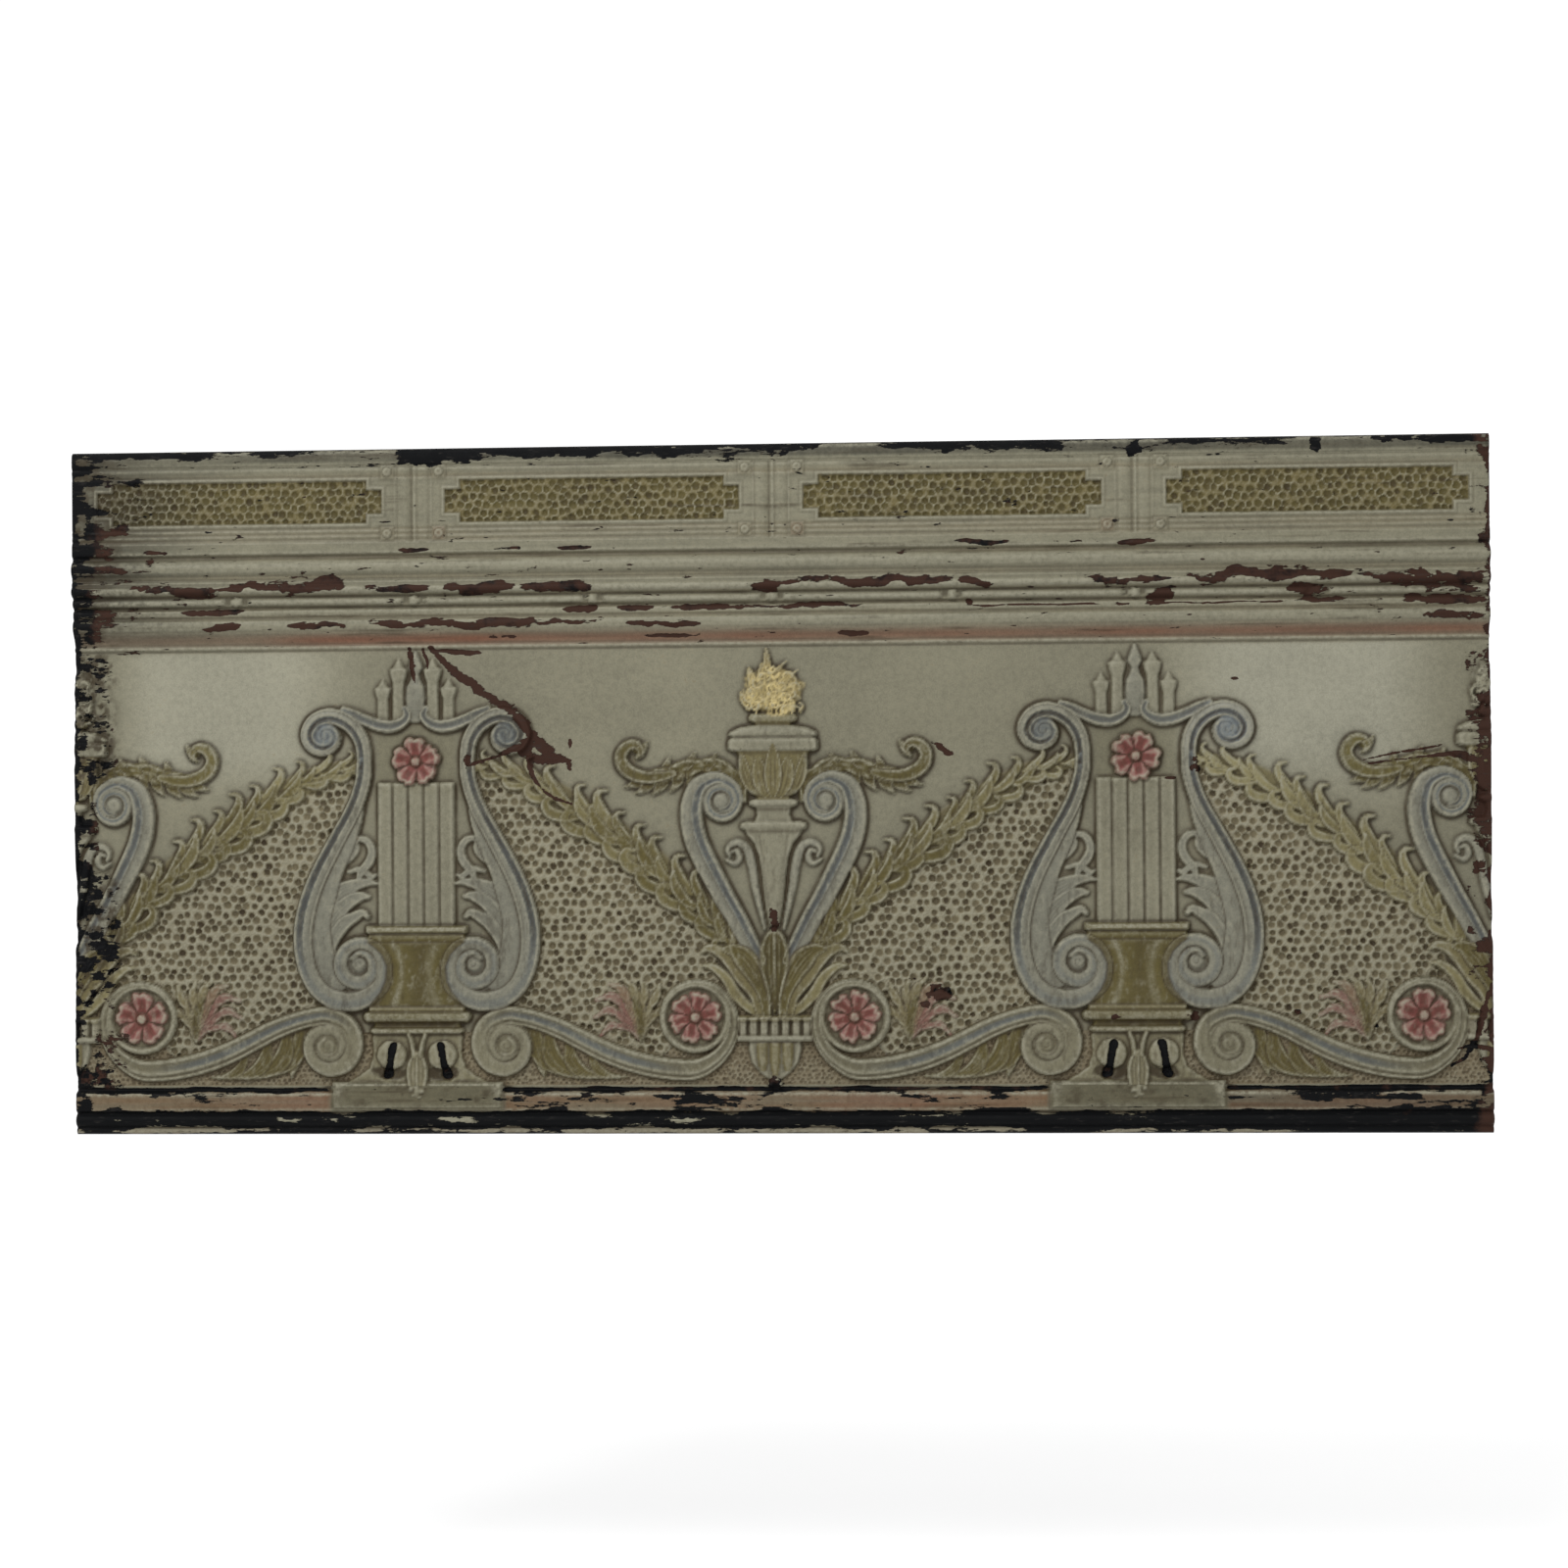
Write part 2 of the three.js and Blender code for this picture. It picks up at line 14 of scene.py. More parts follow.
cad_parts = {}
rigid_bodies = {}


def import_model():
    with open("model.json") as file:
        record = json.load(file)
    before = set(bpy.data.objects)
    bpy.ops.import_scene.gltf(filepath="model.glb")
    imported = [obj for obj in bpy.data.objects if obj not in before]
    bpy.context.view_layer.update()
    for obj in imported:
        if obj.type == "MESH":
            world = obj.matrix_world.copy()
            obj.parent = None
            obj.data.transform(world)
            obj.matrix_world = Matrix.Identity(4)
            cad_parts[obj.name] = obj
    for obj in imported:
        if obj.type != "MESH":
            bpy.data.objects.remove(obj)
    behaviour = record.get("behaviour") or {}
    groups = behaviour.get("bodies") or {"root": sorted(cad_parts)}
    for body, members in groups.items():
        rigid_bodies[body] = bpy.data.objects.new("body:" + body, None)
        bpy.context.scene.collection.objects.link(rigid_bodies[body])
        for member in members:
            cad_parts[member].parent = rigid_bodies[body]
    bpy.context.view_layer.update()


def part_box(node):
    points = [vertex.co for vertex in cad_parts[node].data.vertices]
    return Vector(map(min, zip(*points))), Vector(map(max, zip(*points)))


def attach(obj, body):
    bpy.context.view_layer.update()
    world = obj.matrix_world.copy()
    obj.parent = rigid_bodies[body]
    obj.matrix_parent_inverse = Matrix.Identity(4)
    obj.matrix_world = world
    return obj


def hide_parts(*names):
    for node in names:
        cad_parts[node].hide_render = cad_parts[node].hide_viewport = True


bl_info = {
    "name": "Pressed steel frieze panel",
    "version": (1, 0, 0),
    "blender": (4, 5, 0),
    "location": "3D View > Sidebar > Frieze",
    "description": "Builds an old painted frieze panel stamped in sheet steel, and its plain stage",
    "category": "Object",
}

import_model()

METRE = 1000.0
NODE = "pressed_panel"
cad_low, cad_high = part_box(NODE)
LENGTH = (cad_high.x - cad_low.x) * METRE
HEIGHT = (cad_high.z - cad_low.z) * METRE
TOP_Z = cad_high.z * METRE
REPEAT = 606.0
LYRES = (-REPEAT / 2, REPEAT / 2)
TORCHES = (-REPEAT, 0.0, REPEAT)
SEED = 41
WHOLE = (slice(None), slice(None))
UNPITTED = 2.0
PITTED = 1.99
LAYER_TOPS = {"tint": 1.0, "glaze_and_shade": 1.0, "rub_and_highlight": 1.0, "bare": 1.0, "pit": UNPITTED, "stain": 1.0}

# Sections of the mouldings: the cornice is read down from the top edge, the base up from the bottom
CORNICE = [
    (0, 5.4), (1.2, 8.2), (3, 9.4), (8, 9.8), (13, 9.6), (14.4, 8.4), (15.6, 7.8), (16.6, 9.1), (18.2, 9.3),
    (19.4, 8.5), (22.4, 8.2), (23.4, 7.5), (24.6, 8.6), (66, 8.6), (67.6, 7.6), (69.6, 9.1), (71.6, 7.7),
    (74.4, 9.1), (76.4, 7.8), (78.8, 9.4), (80, 9.8), (88, 9.8), (89, 8.6), (90, 7), (92, 6.8), (93, 8.2),
    (95, 10.6), (97.6, 12.4), (100, 12.9), (103, 12.2), (106, 10), (107.2, 8.8), (108.5, 9.6), (109.6, 8.4),
    (111, 9.2), (112.5, 10.7), (114, 9.9), (115, 10.6), (117, 12.4), (118.5, 12.9), (120.5, 12.4),
    (122.5, 10), (124, 6.6), (125, 6.1), (126.5, 8), (129, 8.9), (131, 7.8), (132.4, 5.4), (133.5, 3.8),
    (134.6, 4.2), (136, 6.6), (140, 6.9), (141.5, 6), (142.5, 5.1), (143.6, 6.4), (145.4, 8.2), (148.6, 8.9),
    (152, 8.1), (153.6, 6.8), (155, 6.2), (158, 4), (161, 2.3), (164, 1.3), (165, 0.4), (166.2, 1.9),
    (168.2, 2.3), (169.4, 0.6), (170.2, -0.6), (171.4, 0),
]
BASE = [
    (0, 0.6), (1.2, 2.4), (2.6, 2.9), (4.5, 2.6), (5.6, 1.2), (7, 2.8), (9, 5.2), (12, 6.2), (15, 5.2),
    (17, 2.6), (18.2, 1.4), (19.4, 4), (20.5, 5), (27, 5.4), (34, 5), (35.3, 4), (36.4, 0.2), (37.5, -1),
    (38.6, -0.6), (40, 0.1), (41, 0),
]
FIELD_TOP = HEIGHT - CORNICE[-1][0]
FIELD_BOTTOM = float(BASE[-1][0])

# Heights in the cornice: the stretch of the hammered band, its pockets, their tabs, the buttons and the studs
BAND_LOW, BAND_HIGH = 500.0, 566.0
POCKET_LOW, POCKET_HIGH = 517, 553
TAB_LOW, TAB_HIGH = 525, 545
TAB_REACH = 13
BUTTON_ROWS = (508.0, 560.0)
BUTTON_OUT = 22
STUD_Z = 451.5

# Plinths, and the eyes of the volutes and the ring, each from its own motif's middle line
PLINTH_HALF = 73
PLINTH_LOW, PLINTH_TOP = 21, 44.5
UPPER_EYE = (76.5, 337.4)
LOWER_EYE = (49, 144)
SCROLL_EYE = (76, 75)
TORCH_EYE = (44, 280)
RING = (236, 98)

# Sections across a band, from one edge to the other: share of the half width, share of the height
CHANNEL = ([-1, -0.93, -0.84, -0.7, -0.56, -0.4, 0, 0.4, 0.56, 0.7, 0.84, 0.93, 1],
           [0.3, 0.7, 0.96, 1.0, 0.84, 0.68, 0.6, 0.68, 0.84, 1.0, 0.96, 0.7, 0.3])
FLANGED = ([-1, -0.92, -0.8, -0.68, -0.52, -0.34, -0.18, -0.08, 0.0, 0.1, 0.3, 0.6, 0.82, 0.93, 1],
           [0.3, 0.72, 0.98, 0.94, 0.74, 0.66, 0.78, 0.9, 0.82, 0.72, 0.8, 0.84, 0.78, 0.6, 0.26])
TRIPLE = ([-1, -0.93, -0.82, -0.7, -0.62, -0.52, -0.4, -0.3, -0.2, 0.1, 0.4, 0.56, 0.7, 0.84, 0.93, 1],
          [0.28, 0.6, 0.8, 0.76, 0.54, 0.6, 0.9, 0.96, 0.86, 0.74, 0.78, 0.9, 1.0, 0.94, 0.66, 0.28])
ARM = ([-1, -0.93, -0.84, -0.74, -0.64, -0.5, -0.3, -0.12, 0.0, 0.12, 0.3, 0.5, 0.62, 0.8, 0.92, 1],
       [0.3, 0.7, 0.92, 0.9, 0.7, 0.84, 0.86, 0.96, 0.92, 0.66, 0.56, 0.62, 0.86, 1.0, 0.7, 0.3])
PILLOW = ([-1, -0.92, -0.78, -0.4, 0, 0.4, 0.78, 0.92, 1], [0.5, 0.74, 0.9, 0.98, 1, 0.98, 0.9, 0.74, 0.5])
ROUND = ([-1, -0.88, -0.6, -0.2, 0, 0.2, 0.6, 0.88, 1], [0.2, 0.56, 0.86, 0.98, 1, 0.98, 0.86, 0.56, 0.2])
STEM = ([-1, -0.8, -0.4, -0.16, 0, 0.16, 0.4, 0.8, 1], [0.2, 0.6, 0.8, 0.78, 1, 0.78, 0.8, 0.6, 0.2])
VEINED = ([-1, -0.9, -0.72, -0.58, -0.4, -0.24, -0.06, 0.12, 0.3, 0.46, 0.62, 0.8, 0.92, 1],
          [0.25, 0.75, 0.95, 0.62, 0.9, 0.58, 0.92, 0.6, 0.94, 0.62, 0.92, 0.98, 0.7, 0.25])


# Random and smooth helpers

def lattice_noise(x, z, size, seed):
    """Smooth noise from 0 to 1 with features of about the given size."""
    u = x / size + 4096.0
    v = z / size + 4096.0
    i = np.floor(u).astype(np.int64)
    j = np.floor(v).astype(np.int64)
    fu = u - i
    fv = v - j
    fu = fu * fu * (3 - 2 * fu)
    fv = fv * fv * (3 - 2 * fv)
    table = np.random.default_rng(seed).random(65536)

    def corner(a, b):
        return table[(a * 7919 + b * 104729) % 65536]

    low = corner(i, j) * (1 - fu) + corner(i + 1, j) * fu
    high = corner(i, j + 1) * (1 - fu) + corner(i + 1, j + 1) * fu
    return low * (1 - fv) + high * fv


def ragged_noise(x, z, size, seed, octaves=3):
    """Noise with finer and finer detail, from 0 to 1."""
    total = np.zeros_like(x)
    weight = 0.0
    for octave in range(octaves):
        share = 0.55 ** octave
        total += share * lattice_noise(x, z, size / 2 ** octave, seed + octave)
        weight += share
    return total / weight


def step_up(low, high, value):
    """A smooth step from 0 at low to 1 at high, which may lie either way round."""
    t = np.clip((value - low) / (high - low), 0.0, 1.0)
    return t * t * (3 - 2 * t)


def line_at(value, middle, width, power=2):
    """A soft line: 1 where the value is at its middle, and fading over about the width to each side."""
    return np.exp(-((value - middle) / width) ** power)


def smooth_path(points, spacing=0.9):
    """A smooth curve through (x, z, half width) points, sampled about every spacing."""
    pts = np.array(points, float)
    ends = np.vstack([2 * pts[0] - pts[1], pts, 2 * pts[-1] - pts[-2]])
    rows = []
    for k in range(len(pts) - 1):
        a, b, c, d = ends[k:k + 4]
        run = np.hypot(*(c - b)[:2])
        t = np.linspace(0, 1, max(2, int(run / spacing)), endpoint=False)[:, None]
        rows.append(0.5 * (2 * b + (c - a) * t + (2 * a - 5 * b + 4 * c - d) * t ** 2
                           + (3 * b - a - 3 * c + d) * t ** 3))
    rows.append(pts[-1:])
    return np.vstack(rows)


def curl(centre, start, turn, radius, width, fade, spacing=0.9):
    """A curl round a centre, whose radius and half width settle from their first to their last value."""
    steps = max(8, int(abs(turn) / 360 * 2 * np.pi * max(radius) / spacing))
    turned = np.linspace(0, turn, steps)
    left = np.exp(-np.abs(turned) / fade)
    angle = np.radians(start + turned)
    r = radius[1] + (radius[0] - radius[1]) * left
    w = width[1] + (width[0] - width[1]) * left
    return np.column_stack([centre[0] + r * np.cos(angle), centre[1] + r * np.sin(angle), w])


def placed(path, x, side=1):
    """A path drawn from a motif's own middle line, mirrored and moved to its place."""
    moved = np.array(path, float)
    moved[:, 0] = x + side * moved[:, 0]
    return moved


def stroke(points, x, side=1):
    """A smooth path through points that are given from a motif's own middle line."""
    return placed(smooth_path(points), x, side)


# The sheet and the ways to work it

def moulding_height(z):
    """Height of the plain mouldings, with their corners softened as a press leaves them."""
    drops, cornice = np.array(CORNICE, float).T
    ups, base = np.array(BASE, float).T
    line_z = np.concatenate([ups, (HEIGHT - drops)[::-1]])
    line_h = np.concatenate([base, cornice[::-1]])
    offsets = np.linspace(-0.5, 0.5, 5)
    return sum(np.interp(z + offset, line_z, line_h) for offset in offsets) / len(offsets)


class Sheet:
    """Heights and paint at the points of one grid."""

    def __init__(self, xs, zs, ground):
        self.xs = xs
        self.zs = zs
        self.x, self.z = np.meshgrid(xs, zs)
        self.h = moulding_height(self.z)
        self.tint = np.empty(self.x.shape + (3,))
        self.tint[:] = ground
        # the brown layer holds glaze and painted shade, the pale layer holds rubbed lines and painted
        # highlights
        self.glaze_and_shade = np.zeros_like(self.h)
        self.rub_and_highlight = np.zeros_like(self.h)
        self.bare = np.zeros_like(self.h)
        self.pit = np.full_like(self.h, UNPITTED)
        self.stain = np.zeros_like(self.h)

    def window(self, x0, x1, z0, z1):
        """The rows and columns that lie between the given limits."""
        rows = slice(*np.searchsorted(self.zs, [z0, z1]))
        columns = slice(*np.searchsorted(self.xs, [x0, x1]))
        return rows, columns

    def around(self, x, half, z0, z1):
        """The window about an upright line, with how far its points lie from that line, and their heights."""
        window = self.window(x - half, x + half, z0, z1)
        return window, self.x[window] - x, self.z[window]

    def paint(self, window, share, colour):
        part = self.tint[window]
        part += (np.array(colour) - part) * np.clip(share, 0, 1)[..., None]

    def lift(self, window, height):
        """Raises what is lower than the given height."""
        np.maximum(self.h[window], height, out=self.h[window])

    def darken(self, window, amount):
        """Lets brown glaze settle, and paints shade into the same brown layer."""
        np.maximum(self.glaze_and_shade[window], amount, out=self.glaze_and_shade[window])

    def brighten(self, window, amount):
        """Rubs the paint pale, and paints highlights into the same pale layer."""
        np.maximum(self.rub_and_highlight[window], amount, out=self.rub_and_highlight[window])

    def chip(self, window, amount):
        """Takes the paint off where the amount is high."""
        np.maximum(self.bare[window], np.clip(amount, 0, 1), out=self.bare[window])

    def clean(self, window, share):
        """New work covers the glaze and painted shade, and the rubbed lines and painted highlights, that lay
        there before.
        """
        for layer in (self.glaze_and_shade, self.rub_and_highlight):
            layer[window] *= 1 - np.clip(share, 0, 1)


def follow(sheet, path, reach=1.3):
    """Finds the points near a path: returns their window, signed share across, and share along."""
    margin = path[:, 2].max() * reach + 1
    low = path[:, :2].min(0) - margin
    high = path[:, :2].max(0) + margin
    window = sheet.window(low[0], high[0], low[1], high[1])
    x = sheet.x[window]
    z = sheet.z[window]
    across = np.full(x.shape, 9.0)
    along = np.zeros(x.shape)
    if x.size == 0:
        return window, across, along
    run = np.gradient(path[:, :2], axis=0)
    run /= np.maximum(np.hypot(run[:, 0], run[:, 1]), 1e-6)[:, None]
    stretch = 24
    for first in range(0, len(path) - 1, stretch):
        part = path[first:first + stretch + 1]
        near_z = slice(*np.searchsorted(z[:, 0], [part[:, 1].min() - margin, part[:, 1].max() + margin]))
        near_x = slice(*np.searchsorted(x[0], [part[:, 0].min() - margin, part[:, 0].max() + margin]))
        box = (near_z, near_x)
        dx = x[box][..., None] - part[:, 0]
        dz = z[box][..., None] - part[:, 1]
        gap = dx * dx + dz * dz
        if gap.size == 0:
            continue
        k = gap.argmin(-1)[..., None]
        gap = np.sqrt(np.take_along_axis(gap, k, -1)[..., 0])
        turn = run[first:first + stretch + 1]
        cross = (np.take_along_axis(dz, k, -1)[..., 0] * turn[k[..., 0], 0]
                 - np.take_along_axis(dx, k, -1)[..., 0] * turn[k[..., 0], 1])
        wide = np.maximum(part[k[..., 0], 2], 0.2)
        closer = gap / wide < np.abs(across[box])
        across[box] = np.where(closer, np.where(cross < 0, -1, 1) * gap / wide, across[box])
        along[box] = np.where(closer, (first + k[..., 0]) / (len(path) - 1), along[box])
    return window, across, along


def band(sheet, path, section, height, tint=None, outline=0.7, taper=0.0, side=1, rim=0.0, ending=None):
    """Raises a band along a path with the given section, paints it, and darkens its outline with glaze and
    painted shade.

    With an ending, the section changes to that one along the given part of the path.
    """
    window, across, along = follow(sheet, path)
    across = across * side
    inside = np.abs(across) < 1
    share = np.interp(across, section[0], section[1])
    if ending:
        later, first, last = ending
        change = step_up(first, last, along)
        share = share * (1 - change) + np.interp(across, later[0], later[1]) * change
    full = height * (1 - taper * along)
    sheet.clean(window, step_up(1.0, 0.9, np.abs(across)))
    sheet.lift(window, np.where(inside, full * share, -9))
    if tint is not None:
        sheet.paint(window, step_up(1.02, 0.94, np.abs(across)), tint)
    # dark outline where the band meets the ground: brown glaze, and painted shade
    line = line_at(np.abs(across), 1.01, 0.09)
    sheet.darken(window, line * outline)
    if rim:
        sheet.brighten(window, rim * line_at(np.abs(across), 0.8, 0.12))
    return window, across, along


def groove(sheet, path, depth, dark=0.75):
    """Cuts a fine line into what is already raised, and lets the glaze settle in it."""
    window, across, along = follow(sheet, path, 2.4)
    line = line_at(across, 0, 1) * step_up(0, 0.03, along) * step_up(1, 0.97, along)
    line = np.where(np.abs(across) < 3, line, 0)
    sheet.h[window] -= depth * line
    sheet.darken(window, dark * line)


def leaf(sheet, x, side, root, tip, width, height, tint, bend=0.0, low=0.35, hook=0.0, blunt=False, rim=0.5,
         ribbed=False):
    """A cupped leaf with a midrib and a pale raised rim, lower at its root than at its tip.

    Root and tip are given from the motif's own middle line at x, and side mirrors the leaf.
    """
    x0 = x + side * root[0]
    x1 = x + side * tip[0]
    z0 = root[1]
    z1 = tip[1]
    bend = side * bend
    hook = side * hook
    length = np.hypot(x1 - x0, z1 - z0)
    ux = (x1 - x0) / length
    uz = (z1 - z0) / length
    reach = width + (abs(bend) + abs(hook)) * length + 3
    window = sheet.window(min(x0, x1) - reach, max(x0, x1) + reach, min(z0, z1) - reach, max(z0, z1) + reach)
    dx = sheet.x[window] - x0
    dz = sheet.z[window] - z0
    s = (dx * ux + dz * uz) / length
    inner = np.clip(s, 0.001, 0.999)
    t = dz * ux - dx * uz - length * (bend * 4 * s * (1 - s) + hook * inner ** 3)
    half = width * np.sin(np.pi * inner ** (1.9 if blunt else 0.85)) ** (0.5 if blunt else 0.72)
    u = np.abs(t) / np.maximum(half, 0.05)
    inside = (s > 0) & (s < 1) & (u < 1)
    if ribbed:
        shape = np.interp(u, [0, 0.1, 0.2, 0.36, 0.5, 0.62, 0.84, 1],
                          [1.0, 0.86, 0.6, 0.9, 0.62, 0.72, 0.98, 0.5])
        veins = line_at(u, 0.2, 0.08) + line_at(u, 0.54, 0.08)
    else:
        shape = np.interp(u, [0, 0.1, 0.26, 0.6, 0.84, 1], [0.92, 0.8, 0.6, 0.72, 1.0, 0.5])
        veins = line_at(u, 0.26, 0.12)
    along = (s > 0) & (s < 1)
    sheet.clean(window, np.where(along, step_up(1.0, 0.9, u), 0))
    sheet.lift(window, np.where(inside, height * (low + (1 - low) * s) * shape, -9))
    sheet.paint(window, np.where(along, step_up(1.04, 0.92, u), 0), tint)
    # dark outline round the leaf: brown glaze, and painted shade
    edge = np.where((s > -0.03) & (s < 1.04), line_at(u, 1.05, 0.13), 0)
    sheet.darken(window, edge * 0.85)
    sheet.darken(window, np.where(inside, 0.6 * veins, 0))
    sheet.brighten(window, np.where(inside, rim * line_at(u, 0.86, 0.1), 0))


def frond(sheet, path, height, lobes, tint, depth=0.3, taper=0.2):
    """An acanthus leaf: a lobed band with slanting ribs and a midrib."""
    window, across, along = follow(sheet, path)
    lobe = np.abs(np.sin(np.pi * (lobes * along + 0.15 - 0.22 * np.abs(across))))
    edge = (1 - depth) + depth * lobe ** 0.6
    u = np.abs(across) / edge
    inside = u < 1
    rib = 0.5 + 0.5 * np.cos(2 * np.pi * (2 * lobes * along - 0.9 * np.abs(across)))
    swell = np.interp(u, [0, 0.08, 0.2, 0.6, 0.88, 1], [1.0, 0.8, 0.66, 0.86, 0.82, 0.35])
    share = swell * (0.76 + 0.24 * rib)
    sheet.lift(window, np.where(inside, height * (1 - taper * along) * share, -9))
    sheet.paint(window, step_up(1.03, 0.94, u), tint)
    # dark outline round the frond: brown glaze, and painted shade
    sheet.darken(window, line_at(u, 1.06, 0.12) * 0.8)
    sheet.darken(window, np.where(inside, (1 - rib) * 0.34 * step_up(0.1, 0.4, u), 0))


def turned(sheet, x, rows, tint=None, roundness=0.5, outline=0.7):
    """A form in half relief about an upright line: rows of (z, half width, height), read upwards."""
    zs, halves, heights = np.array(rows, float).T
    window, dx, z = sheet.around(x, halves.max() + 3, zs[0], zs[-1])
    half = np.interp(z, zs, halves)
    u = np.abs(dx) / np.maximum(half, 0.1)
    share = (1 - roundness) + roundness * np.sqrt(np.clip(1 - u * u, 0, 1))
    share = share * step_up(1.0, 1 - 1.4 / np.maximum(half, 2.0), u)
    sheet.lift(window, np.where(u < 1, np.interp(z, zs, heights) * share, -9))
    if tint is not None:
        sheet.paint(window, step_up(1.03, 0.97, u), tint)
    # dark outline round the form: brown glaze, and painted shade
    off = (u - 1) * half
    sheet.darken(window, line_at(off, 0.5, 1.1) * outline)


def plate(sheet, x0, x1, z0, z1, height, tint=None, bevel=1.3, outline=0.6):
    """A raised flat plate with sloping sides."""
    window = sheet.window(x0 - 3, x1 + 3, z0 - 3, z1 + 3)
    x = sheet.x[window]
    z = sheet.z[window]
    inset = np.minimum(np.minimum(x - x0, x1 - x), np.minimum(z - z0, z1 - z))
    sheet.lift(window, np.where(inset > 0, height * np.clip(0.25 + inset / bevel, 0, 1), -9))
    if tint is not None:
        sheet.paint(window, step_up(-0.3, 0.4, inset), tint)
    # dark outline round the plate: brown glaze, and painted shade
    sheet.darken(window, line_at(inset, -0.7, 0.9) * outline)


def boss(sheet, x, z, radius, height, tint=None, dished=0.0, rise=0.0):
    """A round boss, domed or dished, that stands on whatever lies under it."""
    reach = radius * 1.4 + 1
    window, dx, heights = sheet.around(x, reach, z - reach, z + reach)
    r = np.hypot(dx, heights - z) / radius
    shape = np.sqrt(np.clip(1 - 0.85 * r ** 2.4, 0, 1)) - dished * line_at(r, 0, 0.42)
    sheet.clean(window, step_up(1.0, 0.9, r))
    sheet.lift(window, np.where(r < 1, rise + height * shape, -9))
    if tint is not None:
        sheet.paint(window, step_up(1.05, 0.95, r), tint)
    # dark outline round the boss: brown glaze, and painted shade
    sheet.darken(window, line_at(r, 1.08, 0.12) * 0.7)


def rosette(sheet, x, z, radius, petals, height, tint, pale, turn=0.0):
    """A rosette of broad heart-shaped petals round a small button, with painted highlights and painted shade.
    """
    reach = radius + 4
    window, dx, heights = sheet.around(x, reach, z - reach, z + reach)
    dz = heights - z
    ruffle = ragged_noise(sheet.x[window], heights, 6, SEED + 75) - 0.5
    r = np.hypot(dx, dz)
    angle = np.arctan2(dz, dx) + 0.22 * ruffle
    swing = (angle * petals / (2 * np.pi) + turn) % 1.0 - 0.5
    side = np.abs(swing)
    lobe = np.cos(np.pi * swing)
    outline = radius * (0.74 + 0.26 * np.abs(lobe) ** 0.5) * (1 - 0.1 * line_at(swing, 0, 0.08))
    q = r / outline + 0.16 * ruffle
    fold = 0.5 + 0.5 * np.cos(2 * np.pi * (2.0 * side + 0.7 * q))
    shape = np.interp(q, [0, 0.2, 0.28, 0.5, 0.78, 0.92, 1], [0.34, 0.34, 0.4, 0.58, 0.78, 1.0, 0.6])
    shape = shape * (0.5 + 0.5 * np.abs(lobe) ** 0.4) + 0.16 * (fold - 0.5) * step_up(0.25, 0.5, q)
    button = r / (radius * 0.19)
    shape = np.where(button < 1, 0.56 + 0.36 * np.sqrt(np.clip(1 - button ** 2, 0, 1)), shape)
    inside = q < 1
    sheet.clean(window, step_up(1.0, 0.95, q))
    sheet.lift(window, np.where(inside, height * shape, -9))
    sheet.paint(window, step_up(1.04, 0.95, q), tint)
    # painted highlights on the petal rims, the fold crests, the button and a line down each petal; painted
    # shade in the gaps between petals, in the fold troughs and round the button
    gap = 1.2 * line_at(side, 0.5, 0.07) * step_up(0.15, 0.3, q)
    light = line_at(q, 0.88, 0.06) + 0.8 * (button < 0.7) + 0.6 * fold ** 3 * step_up(0.3, 0.5, q)
    light = light + 0.8 * line_at(side, 0.4, 0.035) * step_up(0.3, 0.5, q)
    sheet.paint(window, 0.75 * light * inside, pale)
    sheet.darken(window, line_at(q, 1.06, 0.07) * 0.95)
    sheet.darken(window, np.where(inside, 0.9 * line_at(button, 1.15, 0.22) + gap
                                  + 0.55 * (1 - fold) ** 3 * step_up(0.2, 0.5, q), 0))


def draw_plinths(sheet, colours):
    """The flat blocks under the lyres, that break the base moulding."""
    tone = np.array(colours.field) * 0.4 + np.array(colours.olive) * 0.26
    for x in LYRES:
        plate(sheet, x - PLINTH_HALF, x + PLINTH_HALF, PLINTH_LOW, PLINTH_TOP, 6.0, tone, bevel=2.2,
              outline=0.9)
        window, _, z = sheet.around(x, PLINTH_HALF, PLINTH_LOW, PLINTH_TOP - 0.5)
        mottled = ragged_noise(sheet.x[window], z, 7, SEED + 79, 4)
        sheet.darken(window, 0.7 * step_up(0.5, 0.8, mottled))
        draw_foot_leaf(sheet, x, tone * 1.35)


def draw_foot_leaf(sheet, x, tone):
    """The leaf that hangs over a plinth from the lyre's foot."""
    leaf(sheet, x, 1, (0, 70), (0, 29), 9.5, 8.6, tone, low=0.8, rim=0.8, ribbed=True)


